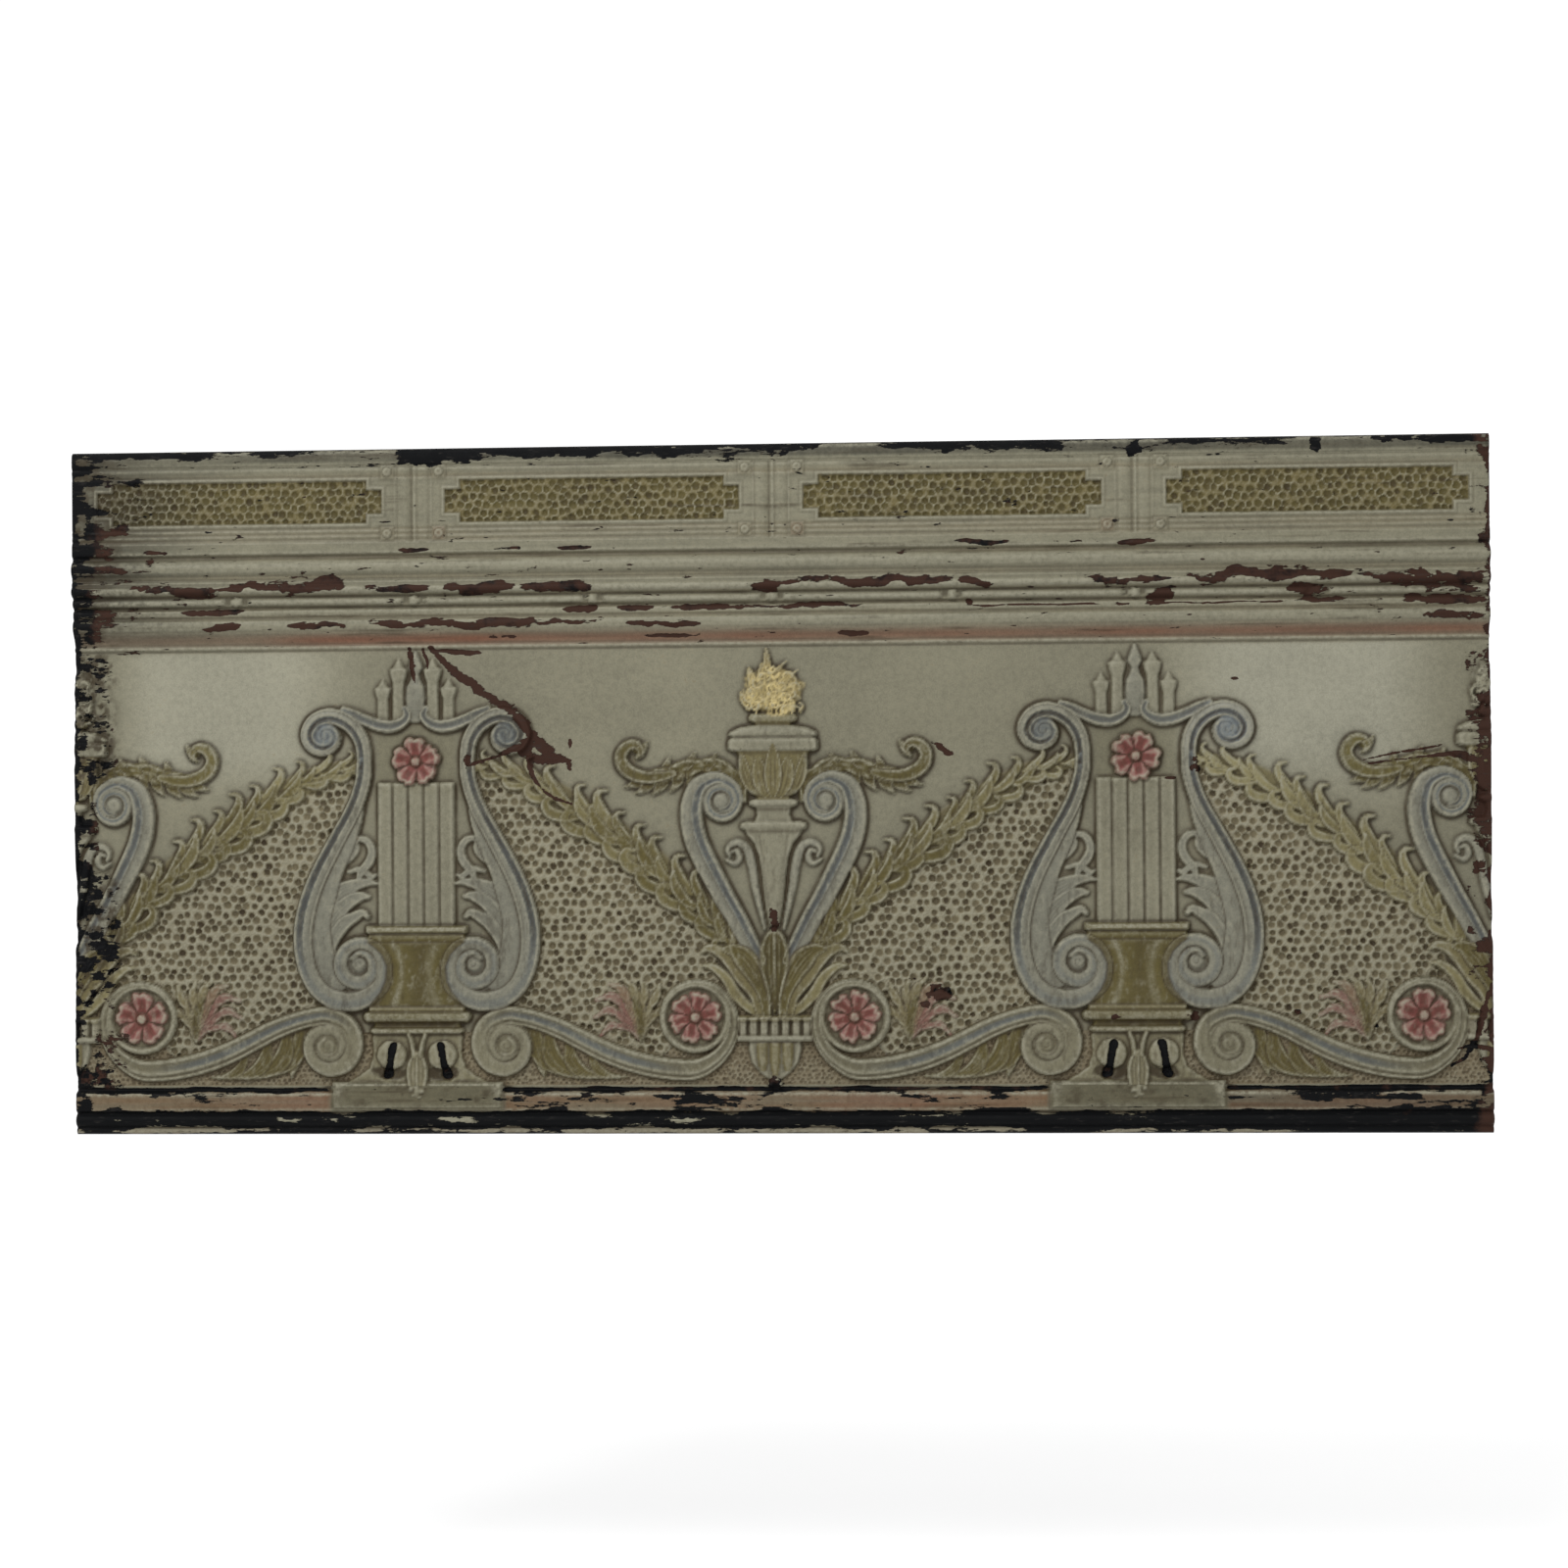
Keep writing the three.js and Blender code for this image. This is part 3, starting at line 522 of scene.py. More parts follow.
def hammer(sheet, window, mask, pitch, radius, depth, stain, seed, net=None):
    """Beats round pits into the sheet, so close together that only a thin net stands between them."""
    rng = np.random.default_rng(seed)
    x = sheet.x[window]
    z = sheet.z[window]
    if x.size == 0:
        return
    row_height = pitch * 0.87
    j = np.floor(z / row_height).astype(int)
    first_j = j.min() - 2
    count_j = j.max() - first_j + 4
    i_all = np.floor(x / pitch).astype(int)
    first_i = i_all.min() - 3
    count_i = i_all.max() - first_i + 6
    jitter = rng.uniform(-0.24, 0.24, (count_j, count_i, 2)) * pitch
    sizes = rng.uniform(0.78, 1.12, (count_j, count_i)) * radius
    depths = rng.uniform(0.5, 1.15, (count_j, count_i)) * depth
    stains = (0.12 + 0.95 * rng.beta(0.7, 1.5, (count_j, count_i))) * stain
    nearest = np.full(x.shape, 9.0)
    second = np.full(x.shape, 9.0)
    deep = np.zeros_like(x)
    dark = np.zeros_like(x)
    for step_j in (-1, 0, 1):
        row = j + step_j
        shift = (row % 2) * 0.5 * pitch
        i = np.floor((x - shift) / pitch).astype(int)
        for step_i in (-1, 0, 1):
            column = i + step_i
            at = (row - first_j, column - first_i)
            cx = (column + 0.5) * pitch + shift + jitter[at + (0,)]
            cz = (row + 0.5) * row_height + jitter[at + (1,)]
            q = np.hypot(x - cx, z - cz) / sizes[at]
            closer = q < nearest
            second = np.where(closer, nearest, np.minimum(second, q))
            nearest = np.where(closer, q, nearest)
            deep = np.where(closer, depths[at], deep)
            dark = np.where(closer, stains[at], dark)
    ridge = line_at(second, nearest, 0.32)
    sheet.h[window] += mask * (0.35 * ridge * depth - deep * step_up(1.25, 0.35, nearest))
    sheet.pit[window] = np.where(mask > 0.5, np.minimum(nearest, UNPITTED), sheet.pit[window])
    sheet.stain[window] = np.where(mask > 0.5, dark, sheet.stain[window])
    if net is not None:
        sheet.paint(window, mask * 0.5 * step_up(0.85, 1.2, nearest), net)
    # dark ring at each pit's edge: stain, and painted shade on the pit's wall; pale ring on the net beside
    # it: painted highlight
    sheet.darken(window, mask * (0.1 + 0.5 * dark) * line_at(nearest, 0.95, 0.14))
    sheet.brighten(window, mask * 0.3 * line_at(nearest, 1.22, 0.12))


# Lyre motif, drawn from its own middle line

def lyre_arm_path():
    """From the eye of the upper volute, down the arm and round to the eye of the lower one."""
    arm = [(78, 343.5, 2.6), (71, 343, 3.2), (67.4, 336, 4), (71, 328.6, 4.8), (80, 325.4, 5.4),
           (89, 329.5, 5.9), (92.4, 339, 6.3), (86.5, 349.5, 6.8), (75, 354, 7.2), (63.5, 351.5, 7.2),
           (53, 344, 7), (46, 332, 6.8), (44, 318, 6.6), (44.6, 303, 6.8), (49, 286, 7), (56, 270, 7.2),
           (64.4, 255, 7.4), (72.6, 240, 7.8), (80.6, 225, 8), (87.4, 210, 8.2), (92.6, 195, 8.4),
           (96, 180, 8.6), (97.2, 165, 8.6), (96, 150, 8.4), (91.6, 135, 8.2), (83.6, 122.4, 8.2),
           (70, 114, 8.4)]
    turns = [(90, 30.8, 8.4), (135, 26, 7.4), (180, 21.5, 6.6), (225, 19.4, 6), (270, 17.6, 5.6),
             (315, 16.6, 5.9), (360, 16, 6), (405, 16, 6.1), (450, 16, 6), (495, 14, 5), (540, 11.4, 3.9),
             (585, 10, 3.2), (630, 9, 2.7), (680, 7.6, 2.2)]
    eye_x, eye_z = LOWER_EYE
    return smooth_path(arm + [(eye_x + r * np.cos(np.radians(-a)), eye_z + r * np.sin(np.radians(-a)), w)
                              for a, r, w in turns])


def ground_scroll_path():
    """From the eye of the volute under the lyre, along the ground, and round into the ring."""
    turns = [(690, 5.6, 2.6), (630, 7.6, 3), (570, 9, 3.3), (510, 10.4, 3.5), (450, 11.8, 3.7),
             (400, 12.8, 3.9), (360, 13.8, 4.1), (315, 15.2, 4.3), (270, 16.6, 4.8), (225, 18.2, 5.4),
             (180, 20, 6.3), (135, 21.6, 7.2), (90, 22.6, 7.8), (45, 24, 7.9), (0, 25, 7.9)]
    eye_x, eye_z = SCROLL_EYE
    roll = [(eye_x - r * np.sin(np.radians(a)), eye_z + r * np.cos(np.radians(a)), w) for a, r, w in turns]
    run = [(92, 98.4, 8), (108, 94, 8.2), (124, 87.6, 8.6), (142, 78.4, 9), (160, 69.6, 9.4), (180, 62, 9.6),
           (200, 57, 9.6), (218, 54.4, 9.4)]
    rings = [(a, 27.4 + 16.2 * np.exp(-a / 75), 2.9 + 6.1 * np.exp(-a / 70)) for a in range(0, 241, 20)]
    ring = [(RING[0] + r * np.sin(np.radians(a)), RING[1] - r * np.cos(np.radians(a)), w)
            for a, r, w in rings]
    return smooth_path(roll + run + ring)


GARLAND = [(52, 312, 8), (74, 306, 11), (95, 298, 13), (130, 278, 15.5), (160, 256, 17), (186, 238, 17),
           (212, 216, 17), (237, 193, 16), (258, 168, 14), (276, 142, 9)]
# Three rows of leaves, middle, outer and inner: step along, height, and points along, outwards and half width
GARLAND_ROWS = (
    (0.15, 5.6, [(-16, 1, 1.4), (-7, -1.5, 3.8), (4, 0, 4.6), (12, 4, 3.2), (17, 9, 1.2)]),
    (0.5, 4.6, [(-15, 3, 1.4), (-7, 5, 3.6), (2, 8, 4.0), (9, 12, 3.2), (11, 17, 2.0), (7, 21, 0.8)]),
    (0.0, 4.8, [(-14, -3, 1.4), (-6, -8, 4.0), (4, -12, 4.8), (11, -10.5, 4.0), (13, -5, 2.4),
                (9, -1.5, 1.2)]),
)


def closed_ring(x, z, radius, width):
    """A circle that begins and ends at the same point."""
    angle = np.linspace(0, 2 * np.pi, int(radius * 7))
    widths = np.full(len(angle), width)
    return np.column_stack([x + radius * np.cos(angle), z + radius * np.sin(angle), widths])


def eye_swirl(sheet, x, z, radius, start, turn):
    """A fine spiral line worn into the eye of a volute."""
    spiral = placed(curl((0, 0), start, turn, (radius, radius * 0.12), (0.6, 0.45), 230), x)
    spiral[:, 1] += z
    groove(sheet, spiral, 0.8, 0.6)


def hammered_share(sheet, window, x):
    """Where the hammered ground lies beside one lyre: between arm, garland and scroll."""
    u = np.abs(sheet.x[window] - x)
    z = sheet.z[window]
    line = np.array(GARLAND)
    upper = np.interp(u, line[:, 0], line[:, 1] - 4)
    lower = np.interp(u, [50, 92, 137, 177, 205, 236, 270], [104, 104, 90, 70, 62, 100, 118])
    arm = np.interp(z, [104, 120, 141, 165, 200, 240, 280, 310], [60, 78, 92, 96, 88, 67, 46, 42])
    far = np.interp(z, [100, 118, 160, 320], [250, 262, 250, 250])
    ring = np.hypot(u - (RING[0] + 2), z - RING[1]) > 28
    return ((z < upper) & (z > lower) & (u > arm) & (u < far) & ring).astype(float)


def draw_grounds(sheet, colours):
    """The tone of the hammered ground beside the lyres and of the sandy ground along the bottom."""
    for x in LYRES:
        window = sheet.window(x - 280, x + 280, 60, 320)
        sheet.paint(window, hammered_share(sheet, window, x) * 0.85, colours.hammered)
    window = sheet.window(sheet.xs[0], sheet.xs[-1] + 1, 40, 150)
    x = sheet.x[window]
    z = sheet.z[window]
    sheet.paint(window, sandy_share(x, z) * (0.45 + 0.45 * ragged_noise(x, z, 14, SEED + 5)), colours.stipple_and_shade)


def sandy_share(x, z):
    u = np.abs(np.abs(x) - REPEAT / 2)
    limit = np.interp(u, [0, 60, 92, 137, 177, 205, 236, 262, 285, 303],
                      [86, 86, 100, 84, 64, 60, 98, 128, 104, 96])
    return (z < limit).astype(float)


def beat_grounds(sheet):
    """Hammers the grounds where no ornament covers them."""
    colours = bpy.context.scene.frieze_colours
    for x in LYRES:
        window = sheet.window(x - 280, x + 280, 60, 320)
        mask = hammered_share(sheet, window, x) * step_up(1.3, 0.4, sheet.h[window])
        hammer(sheet, window, mask, pitch=7.8, radius=3.0, depth=1.9, stain=1.0, seed=SEED + int(x > 0),
               net=colours.rubbed_and_highlight)
    window = sheet.window(sheet.xs[0], sheet.xs[-1] + 1, 42, 150)
    mask = sandy_share(sheet.x[window], sheet.z[window]) * step_up(1.0, 0.3, sheet.h[window])
    mask = mask * (sheet.pit[window] > PITTED)
    hammer(sheet, window, mask, pitch=4.2, radius=1.6, depth=0.7, stain=0.7, seed=SEED + 7)


def draw_garland(sheet, x, side, colours, rng):
    """Low flame-like leaves, each a comma: outer ones flick away from the garland, inner ones curl in."""
    spine = placed(smooth_path(GARLAND, 1.0), x, side)
    window, across, along = follow(sheet, spine)
    body = step_up(0.95, 0.6, np.abs(across))
    sheet.clean(window, body)
    sheet.paint(window, body, colours.laurel)
    sheet.lift(window, np.where(np.abs(across) < 0.8, 2.0 * (1 - across ** 2), -9))
    sheet.darken(window, 0.6 * body)
    last = len(spine) - 1
    count = 13
    warm_base, warm_rise = (-0.3, 0.4) if side > 0 and x > 0 else (0.25, 0.9)
    for k in range(count + 1):
        for step, height, comma in GARLAND_ROWS:
            at = (k + step + rng.uniform(-0.16, 0.16)) / (count + 0.6)
            here = int(last * np.clip(at, 0, 1))
            centre = spine[here]
            run = (spine[max(here - 6, 0)] - spine[min(here + 6, last)])[:2]
            run = run / max(np.hypot(*run), 1e-6)
            normal = np.array([-run[1], run[0]])
            if normal[1] < 0:
                normal = -normal
            size = centre[2] / 15.2 * rng.uniform(0.86, 1.16)
            twist = rng.uniform(-2, 2)
            points = [(*(centre[:2] + run * (a * size + 3) + normal * (b * size + twist)), max(w * size, 0.7))
                      for a, b, w in comma]
            warm = np.clip(at * warm_rise + warm_base + rng.uniform(-0.3, 0.5), 0, 1)
            tone = np.array(colours.laurel) * (1 - warm) + np.array(colours.olive) * warm
            band(sheet, smooth_path(points), VEINED, height * rng.uniform(0.85, 1.15), tone, 0.8, taper=-0.25,
                 rim=0.5)


def draw_lyre(sheet, x, colours):
    """A lyre: scrolled arms, fluted strings, rosette, crest of pipes, and an urn on a moulded foot."""
    apron, u, _ = sheet.around(x, 40, 288, 350)
    sheet.paint(apron, step_up(38, 30, np.abs(u)) * 0.6, colours.scroll)
    draw_strings(sheet, x, colours)
    for side in (-1, 1):
        draw_lyre_leaves(sheet, x, side, colours)
        flange = stroke([(42, 316, 2), (45, 300, 3.2), (48, 282, 4.4), (52, 263, 5.4), (60, 243, 6.6),
                         (70, 222, 7.6), (76.4, 202, 8.2), (81.4, 182, 8.6), (82, 163, 9.6),
                         (78.6, 144, 10.4), (69, 130, 11)], x, side)
        band(sheet, flange, PILLOW, 4.8, colours.blue_pale, 0.85)
        upper_x = x + side * UPPER_EYE[0]
        lower_x = x + side * LOWER_EYE[0]
        draw_volute_bed(sheet, lower_x, LOWER_EYE[1] - 4, 30, 26, 3.4, colours.blue_pale)
        window, across, along = band(sheet, placed(lyre_arm_path(), x, side), ARM, 6.9, colours.blue_pale,
                                     1.0, side=side, rim=0.5, ending=(PILLOW, 0.5, 0.62))
        floor = line_at(across, 0.32, 0.34 + 0.12 * step_up(0.34, 0.44, along), 4)
        sheet.paint(window, floor * (1 - 0.45 * step_up(0.5, 0.62, along)), colours.blue)
        sheet.darken(window, step_up(0.6, 0.5, along) * (0.6 * line_at(across, 0.6, 0.06)
                                                         + 0.5 * line_at(across, 0.04, 0.06)
                                                         + 0.55 * line_at(across, -0.64, 0.08)))
        boss(sheet, upper_x, UPPER_EYE[1], 11, 6.6, colours.blue, 0.1)
        eye_swirl(sheet, upper_x, UPPER_EYE[1], 8, 200 if side > 0 else -20, side * -420)
        boss(sheet, lower_x, LOWER_EYE[1], 7, 6.6, colours.blue_pale, 0.12)
        eye_swirl(sheet, lower_x, LOWER_EYE[1], 5.4, 0, side * 400)
    draw_urn(sheet, x, colours)
    draw_crest(sheet, x, colours)
    draw_lyre_foot(sheet, x, colours)
    rosette(sheet, x, 315, 21.5, 5, 7.4, colours.pink, colours.pink_rim_and_highlight, 0.2 + 0.4 * (x > 0))


def draw_volute_bed(sheet, x, z, wide, tall, height, tint):
    """The low ground inside a volute, so that its turns are parted only by shallow grooves."""
    window, dx, heights = sheet.around(x, wide, z - tall, z + tall)
    r = np.hypot(dx / wide, (heights - z) / tall)
    sheet.lift(window, np.where(r < 0.8, height, -9))
    sheet.paint(window, step_up(0.86, 0.78, r), tint)


def draw_lyre_leaves(sheet, x, side, colours):
    """Acanthus inside the lyre: long veined lobes that sweep up from the arm to the strings."""
    for height, path in (
            (4.4, [(84, 148, 4), (85, 168, 7), (80, 187, 9), (69, 202, 8.4), (55, 210, 6), (42, 213, 3.4),
                   (34, 212, 1.4)]),
            (4.8, [(80, 146, 4), (79, 166, 6.4), (71, 183, 7.4), (60, 195, 6.4), (49, 201, 4.6),
                   (41, 201, 2)]),
            (5.0, [(75, 146, 4), (72, 163, 5.6), (63, 177, 6), (53, 184, 4.8), (46, 187, 3.4),
                   (42, 184, 2.2)]),
            (3.8, [(78, 214, 1.6), (67, 226, 3), (56, 236, 4.2), (52, 243, 3.6), (56, 249, 2.6),
                   (60, 246, 1.6)]),
            (4.4, [(50, 214, 2), (47, 222, 3.4), (40, 231, 4), (38, 240, 3.6), (42, 248, 3.2), (49, 250, 2.4),
                   (52, 246, 1.6)]),
            (4.0, [(58, 222, 1.6), (48, 224, 2.6), (39, 218, 2.6), (35, 219, 1.4)])):
        band(sheet, stroke(path, x, side), VEINED, height, colours.blue_pale, 0.6, rim=0.3)


def draw_strings(sheet, x, colours):
    """Five flat strings side by side, parted by dark grooves."""
    window, u, z = sheet.around(x, 36, 176, 297)
    pitch = 13.3
    half = pitch * 2.5
    turn = (u / pitch + 0.5) % 1.0 - 0.5
    share = np.interp(np.abs(turn), [0, 0.3, 0.4, 0.46, 0.5], [0.9, 0.96, 1.0, 0.6, 0.35])
    inside = np.abs(u) < half
    edge = step_up(half + 0.2, half - 1.2, np.abs(u))
    sheet.lift(window, np.where(inside, 4.6 * share * edge, -9))
    sheet.paint(window, inside * 0.6, colours.field)
    sheet.darken(window, np.where(inside, 0.75 * line_at(np.abs(turn), 0.5, 0.055), 0))
    sheet.darken(window, np.where(inside, 0.4 * line_at(np.abs(turn), 0.33, 0.04), 0))
    sheet.darken(window, 0.8 * line_at(np.abs(u) - half, 0.8, 1.0))
    sheet.darken(window, line_at(z, 177.5, 1.6) * 0.8 * inside)


def draw_urn(sheet, x, colours):
    """The urn under the strings: slab, waisted body with painted highlights and painted shade, and a moulded
    foot.
    """
    plate(sheet, x - 43.5, x + 43.5, 169.5, 176, 7.6, np.array(colours.olive_pale) * 0.9, 1.6, 0.9)
    turned(sheet, x, [(162, 40, 5.4), (165, 42, 6.4), (169.5, 42, 6.0)], colours.olive, 0.1)
    turned(sheet, x, [(108, 40, 5.0), (113, 36, 5.8), (120, 30, 6.2), (130, 25.5, 6.0), (142, 24.5, 5.6),
                      (152, 29, 5.6), (158, 35, 6.2), (162.5, 41, 6.8)], colours.olive, 0.42, 0.95)
    turned(sheet, x, [(103.6, 41, 5.2), (105.6, 42, 6.6), (108, 41, 5.4)], colours.olive_pale, 0.1)
    turned(sheet, x, [(95, 44, 5.4), (97.5, 46, 7.8), (100, 46.4, 8.2), (102.6, 45, 7.4), (103.6, 43, 5)],
           colours.olive, 0.12)
    turned(sheet, x, [(90, 38, 3.4), (93, 37, 2.8), (95, 38, 3.6)], colours.olive, 0.1)
    turned(sheet, x, [(84.6, 38, 4.6), (86.4, 40.5, 6.2), (88.6, 40, 6), (90, 38.4, 4.4)], colours.olive, 0.1)
    window, u, z = sheet.around(x, 42, 108, 162)
    half = np.interp(z, [108, 113, 120, 130, 142, 152, 158, 162], [40, 36, 30, 25.5, 24.5, 29, 35, 41])
    share = u / half
    body = np.abs(share) < 1
    # painted shade down the body's middle and towards its sides, and two upright painted highlights, broken
    # into streaks
    painted_light_streaks = ragged_noise(sheet.x[window], z * 0.14, 4, SEED + 77)
    glint = line_at(share, -0.5, 0.09) + 0.7 * line_at(share, 0.44, 0.12)
    shade = line_at(share, 0.1, 0.3) * 0.5 + step_up(0.6, 1.0, np.abs(share)) * 0.7
    sheet.darken(window, body * shade * (0.4 + painted_light_streaks))
    sheet.brighten(window, body * glint * (0.2 + painted_light_streaks))
    for line, dark in ((162.5, 0.9), (108, 0.9), (103.6, 0.9), (94.6, 0.95), (90, 0.8), (84, 1.0)):
        window, u, z = sheet.around(x, 46, line - 5, line + 5)
        sheet.darken(window, dark * line_at(z, line, 1.3) * step_up(45, 39, np.abs(u)))


def draw_crest(sheet, x, colours):
    """The pipes with spear tips that stand over the strings, and the yoke in front of them."""
    for side in (-1, 1):
        for out, rows in (
                (28, [(348, 6, 2.4), (356, 5.4, 3.4), (368, 5.2, 3.8), (373, 7, 4.4), (377, 7.8, 4.6),
                      (378.5, 5, 3.2), (385, 1.2, 1.4)]),
                (14.5, [(346, 6.4, 3.0), (358, 5.8, 4.0), (382, 5.6, 4.4), (388, 7.4, 5.0), (393, 8.2, 5.2),
                        (395, 5.2, 3.6), (402, 1.4, 1.4)])):
            turned(sheet, x + side * out, rows, colours.field, 0.6)
    turned(sheet, x, [(348, 5, 3), (358, 8, 4.6), (368, 9.4, 5.4), (378, 8.4, 5.2), (384, 5, 3.8),
                      (389, 3.8, 3.4), (394, 6.8, 4.6), (399, 5.6, 4.4), (406, 2.6, 3), (412, 0.8, 1.4)],
           colours.blue_pale, 0.6)
    for side in (-1, 1):
        yoke = stroke([(62, 360, 2.4), (52, 355.5, 4), (42, 350, 5), (31, 346, 5.4), (20, 345, 5.2),
                       (11, 348.5, 4.4), (7, 354, 3.4), (9, 360, 2.4)], x, side)
        window, across, along = band(sheet, yoke, CHANNEL, 5.6, colours.blue_pale, 0.7, rim=0.35)
        sheet.paint(window, line_at(across, 0, 0.5, 4) * 0.7, colours.blue)


def draw_lyre_foot(sheet, x, colours):
    """Two oval lobes with dark slots and a painted shadow under each, and a leaf that hangs over the plinth.
    """
    window, u, z = sheet.around(x, 64, 44, 86)
    u = np.abs(u)
    tone = np.array(colours.olive_pale) * 0.45 + np.array(colours.field) * 0.5
    limit = np.interp(z, [44, 48, 56, 70, 84], [60, 52, 41, 37, 38])
    limit = limit + 3 * (ragged_noise(z, u, 8, SEED + 69) - 0.5)
    sheet.clean(window, step_up(limit + 1, limit, u))
    sheet.paint(window, step_up(limit + 1, limit - 1, u), tone)
    sheet.lift(window, np.where(u < limit, 2.4, -9))
    sheet.darken(window, 0.8 * line_at(u - limit, 0.8, 1.2) + line_at(z, 84.5, 1.6) * (u < 40))
    for side in (-1, 1):
        cx = x + side * 21.5
        lobe, dx, heights = sheet.around(cx, 20, 43, 84)
        dx = dx * side
        dz = heights - 67
        ruffle = ragged_noise(sheet.x[lobe], heights, 6, SEED + 73) - 0.5
        oval = np.hypot(dx / 12.6, dz / 12.4) + 0.14 * ruffle
        under = np.hypot((dx - 1) / 15, (dz + 15) / 6.6) + 0.7 * ruffle
        under = step_up(1.15, 0.75, under) * step_up(0.92, 1.02, oval)
        swell = 3.4 + 3.6 * np.sqrt(np.clip(1 - oval ** 2, 0, 1))
        sheet.lift(lobe, np.where(oval < 1, swell, -9))
        sheet.brighten(lobe, 0.8 * line_at(oval, 0.78, 0.12))
        sheet.darken(lobe, line_at(oval, 1.04, 0.07))
        slant = dx + (dz - 1) * 0.2
        slot = np.hypot(slant, np.clip(np.abs(dz + 4) - 12, 0, 20))
        slot = slot / np.interp(dz, [-18, -6, 8], [4.4, 2.6, 3.4])
        slot = step_up(1.3, 0.8, slot + 0.5 * ruffle)
        sheet.h[lobe] -= 3.2 * slot + 1.4 * under
        sheet.chip(lobe, slot)
        # painted shadow under the lobe, in the brown layer and in dark paint
        sheet.darken(lobe, 1.2 * under)
        sheet.paint(lobe, 0.6 * np.clip(under, 0, 1), np.array(tone) * 0.3)
    draw_foot_leaf(sheet, x, tone)
    for k in (-1, 1):
        band(sheet, stroke([(7, 84, 2), (4.4, 77, 2.2), (2.6, 66, 2.4)], x, k), ROUND, 6.2, tone, 0.9)


def draw_scroll(sheet, x, side, colours):
    """The long S-scroll from under a lyre to the ring round its rosette, with its leaves."""
    for root, tip, width, bend in (((92, 92), (101, 46), 6.5, 0.1), ((100, 94), (122, 44), 8, -0.14),
                                   ((112, 90), (141, 42), 8, -0.2), ((128, 82), (156, 42), 6.4, -0.2),
                                   ((146, 72), (174, 44), 4.4, -0.2)):
        leaf(sheet, x, side, root, tip, width, 4.8, colours.olive, bend, hook=0.16, rim=0.4, ribbed=True)
    pale = np.array(colours.olive_pale) * 0.6 + np.array(colours.hammered) * 0.4
    pink = np.array(colours.spray)
    for middle, knee, tip, half, tone in (
            ((181, 88), (165, 91), (156, 83), 3.4, pink),
            ((179, 93), (164, 104), (151, 98), 4.0, pink),
            ((180, 98), (167, 115), (152, 113), 4.2, pink),
            ((183, 101), (174, 121), (163, 126), 4.2, pink * 0.5 + pale * 0.5),
            ((187, 102), (184, 121), (176, 130), 4.0, pale),
            ((191, 103), (193, 119), (190, 129), 3.8, pale),
            ((195, 101), (203, 116), (206, 126), 4.0, pale),
            ((197, 95), (209, 104), (219, 102), 4.0, pale * 0.92),
            ((190, 96), (188, 106), (184, 114), 3.2, colours.olive)):
        stem = stroke([(190, 78, 1.8), (*middle, half * 0.8), (*knee, half), (*tip, 1.6)], x, side)
        frond(sheet, stem, 3.8, 3.4, tone, 0.34)
    eye_x = x + side * SCROLL_EYE[0]
    draw_volute_bed(sheet, eye_x, SCROLL_EYE[1], 27, 25, 4.7, colours.scroll)
    window, across, along = band(sheet, placed(ground_scroll_path(), x, side), TRIPLE, 6.4, colours.scroll,
                                 0.95, side=side, rim=0.35, ending=(PILLOW, 0.36, 0.28))
    run = step_up(0.3, 0.4, along)
    blue = run * step_up(0.72, 0.6, along)
    sheet.paint(window, 0.85 * blue * line_at(across, 0.1, 0.3, 4), colours.blue)
    sheet.darken(window, 0.75 * line_at(across, -0.6, 0.07) * run)
    sheet.darken(window, 0.4 * line_at(across, 0.5, 0.08) * run)
    boss(sheet, eye_x, SCROLL_EYE[1], 8.6, 6.2, colours.scroll, 0.1)
    eye_swirl(sheet, eye_x, SCROLL_EYE[1], 7, 180 if side > 0 else 0, side * -420)
    ring_x = x + side * RING[0]
    ring_z = RING[1]
    band(sheet, closed_ring(ring_x, ring_z, 27.4, 3.1), ROUND, 5.6, colours.scroll, 0.7, rim=0.5)
    window, dx, heights = sheet.around(ring_x, 30, ring_z - 30, ring_z + 30)
    r = np.hypot(dx, heights - ring_z)
    sheet.clean(window, step_up(24.6, 23.6, r))
    sheet.paint(window, step_up(24.6, 23.6, r), colours.scroll)
    sheet.h[window] = np.where(r < 24.3, 2.6, sheet.h[window])
    sheet.darken(window, 0.55 * line_at(r, 24.2, 0.9))
    petals = 5 if (x < 0) == (side < 0) else 6
    rosette(sheet, ring_x, ring_z, 23, petals, 6.8, colours.pink, colours.pink_rim_and_highlight, 0.25)


def torch_arm_path():
    """From the eye of a torch's volute, out round it and down the arm to the stem's foot."""
    turns = [(630, 8.4, 2.2), (585, 9.2, 2.6), (540, 10, 2.9), (495, 10.6, 3.1), (450, 11, 3.2),
             (405, 11.4, 3.3), (360, 11.8, 3.3), (315, 13, 3.4), (270, 14.6, 3.5), (225, 15, 3.2),
             (180, 15.6, 3), (135, 16.6, 3.8), (90, 18.8, 4.9), (60, 20.6, 6.4), (30, 22.8, 8.2)]
    eye_x, eye_z = TORCH_EYE
    roll = [(eye_x + r * np.cos(np.radians(a)), eye_z + r * np.sin(np.radians(a)), w) for a, r, w in turns]
    shaft = [(68.6, 278, 9.5), (69, 264, 10), (66, 249, 10.2), (60.5, 235, 10.2), (53, 220, 10),
             (42.5, 200, 9.4), (31, 180, 8.8), (20, 159, 8), (12, 146, 6)]
    return smooth_path(roll + shaft)


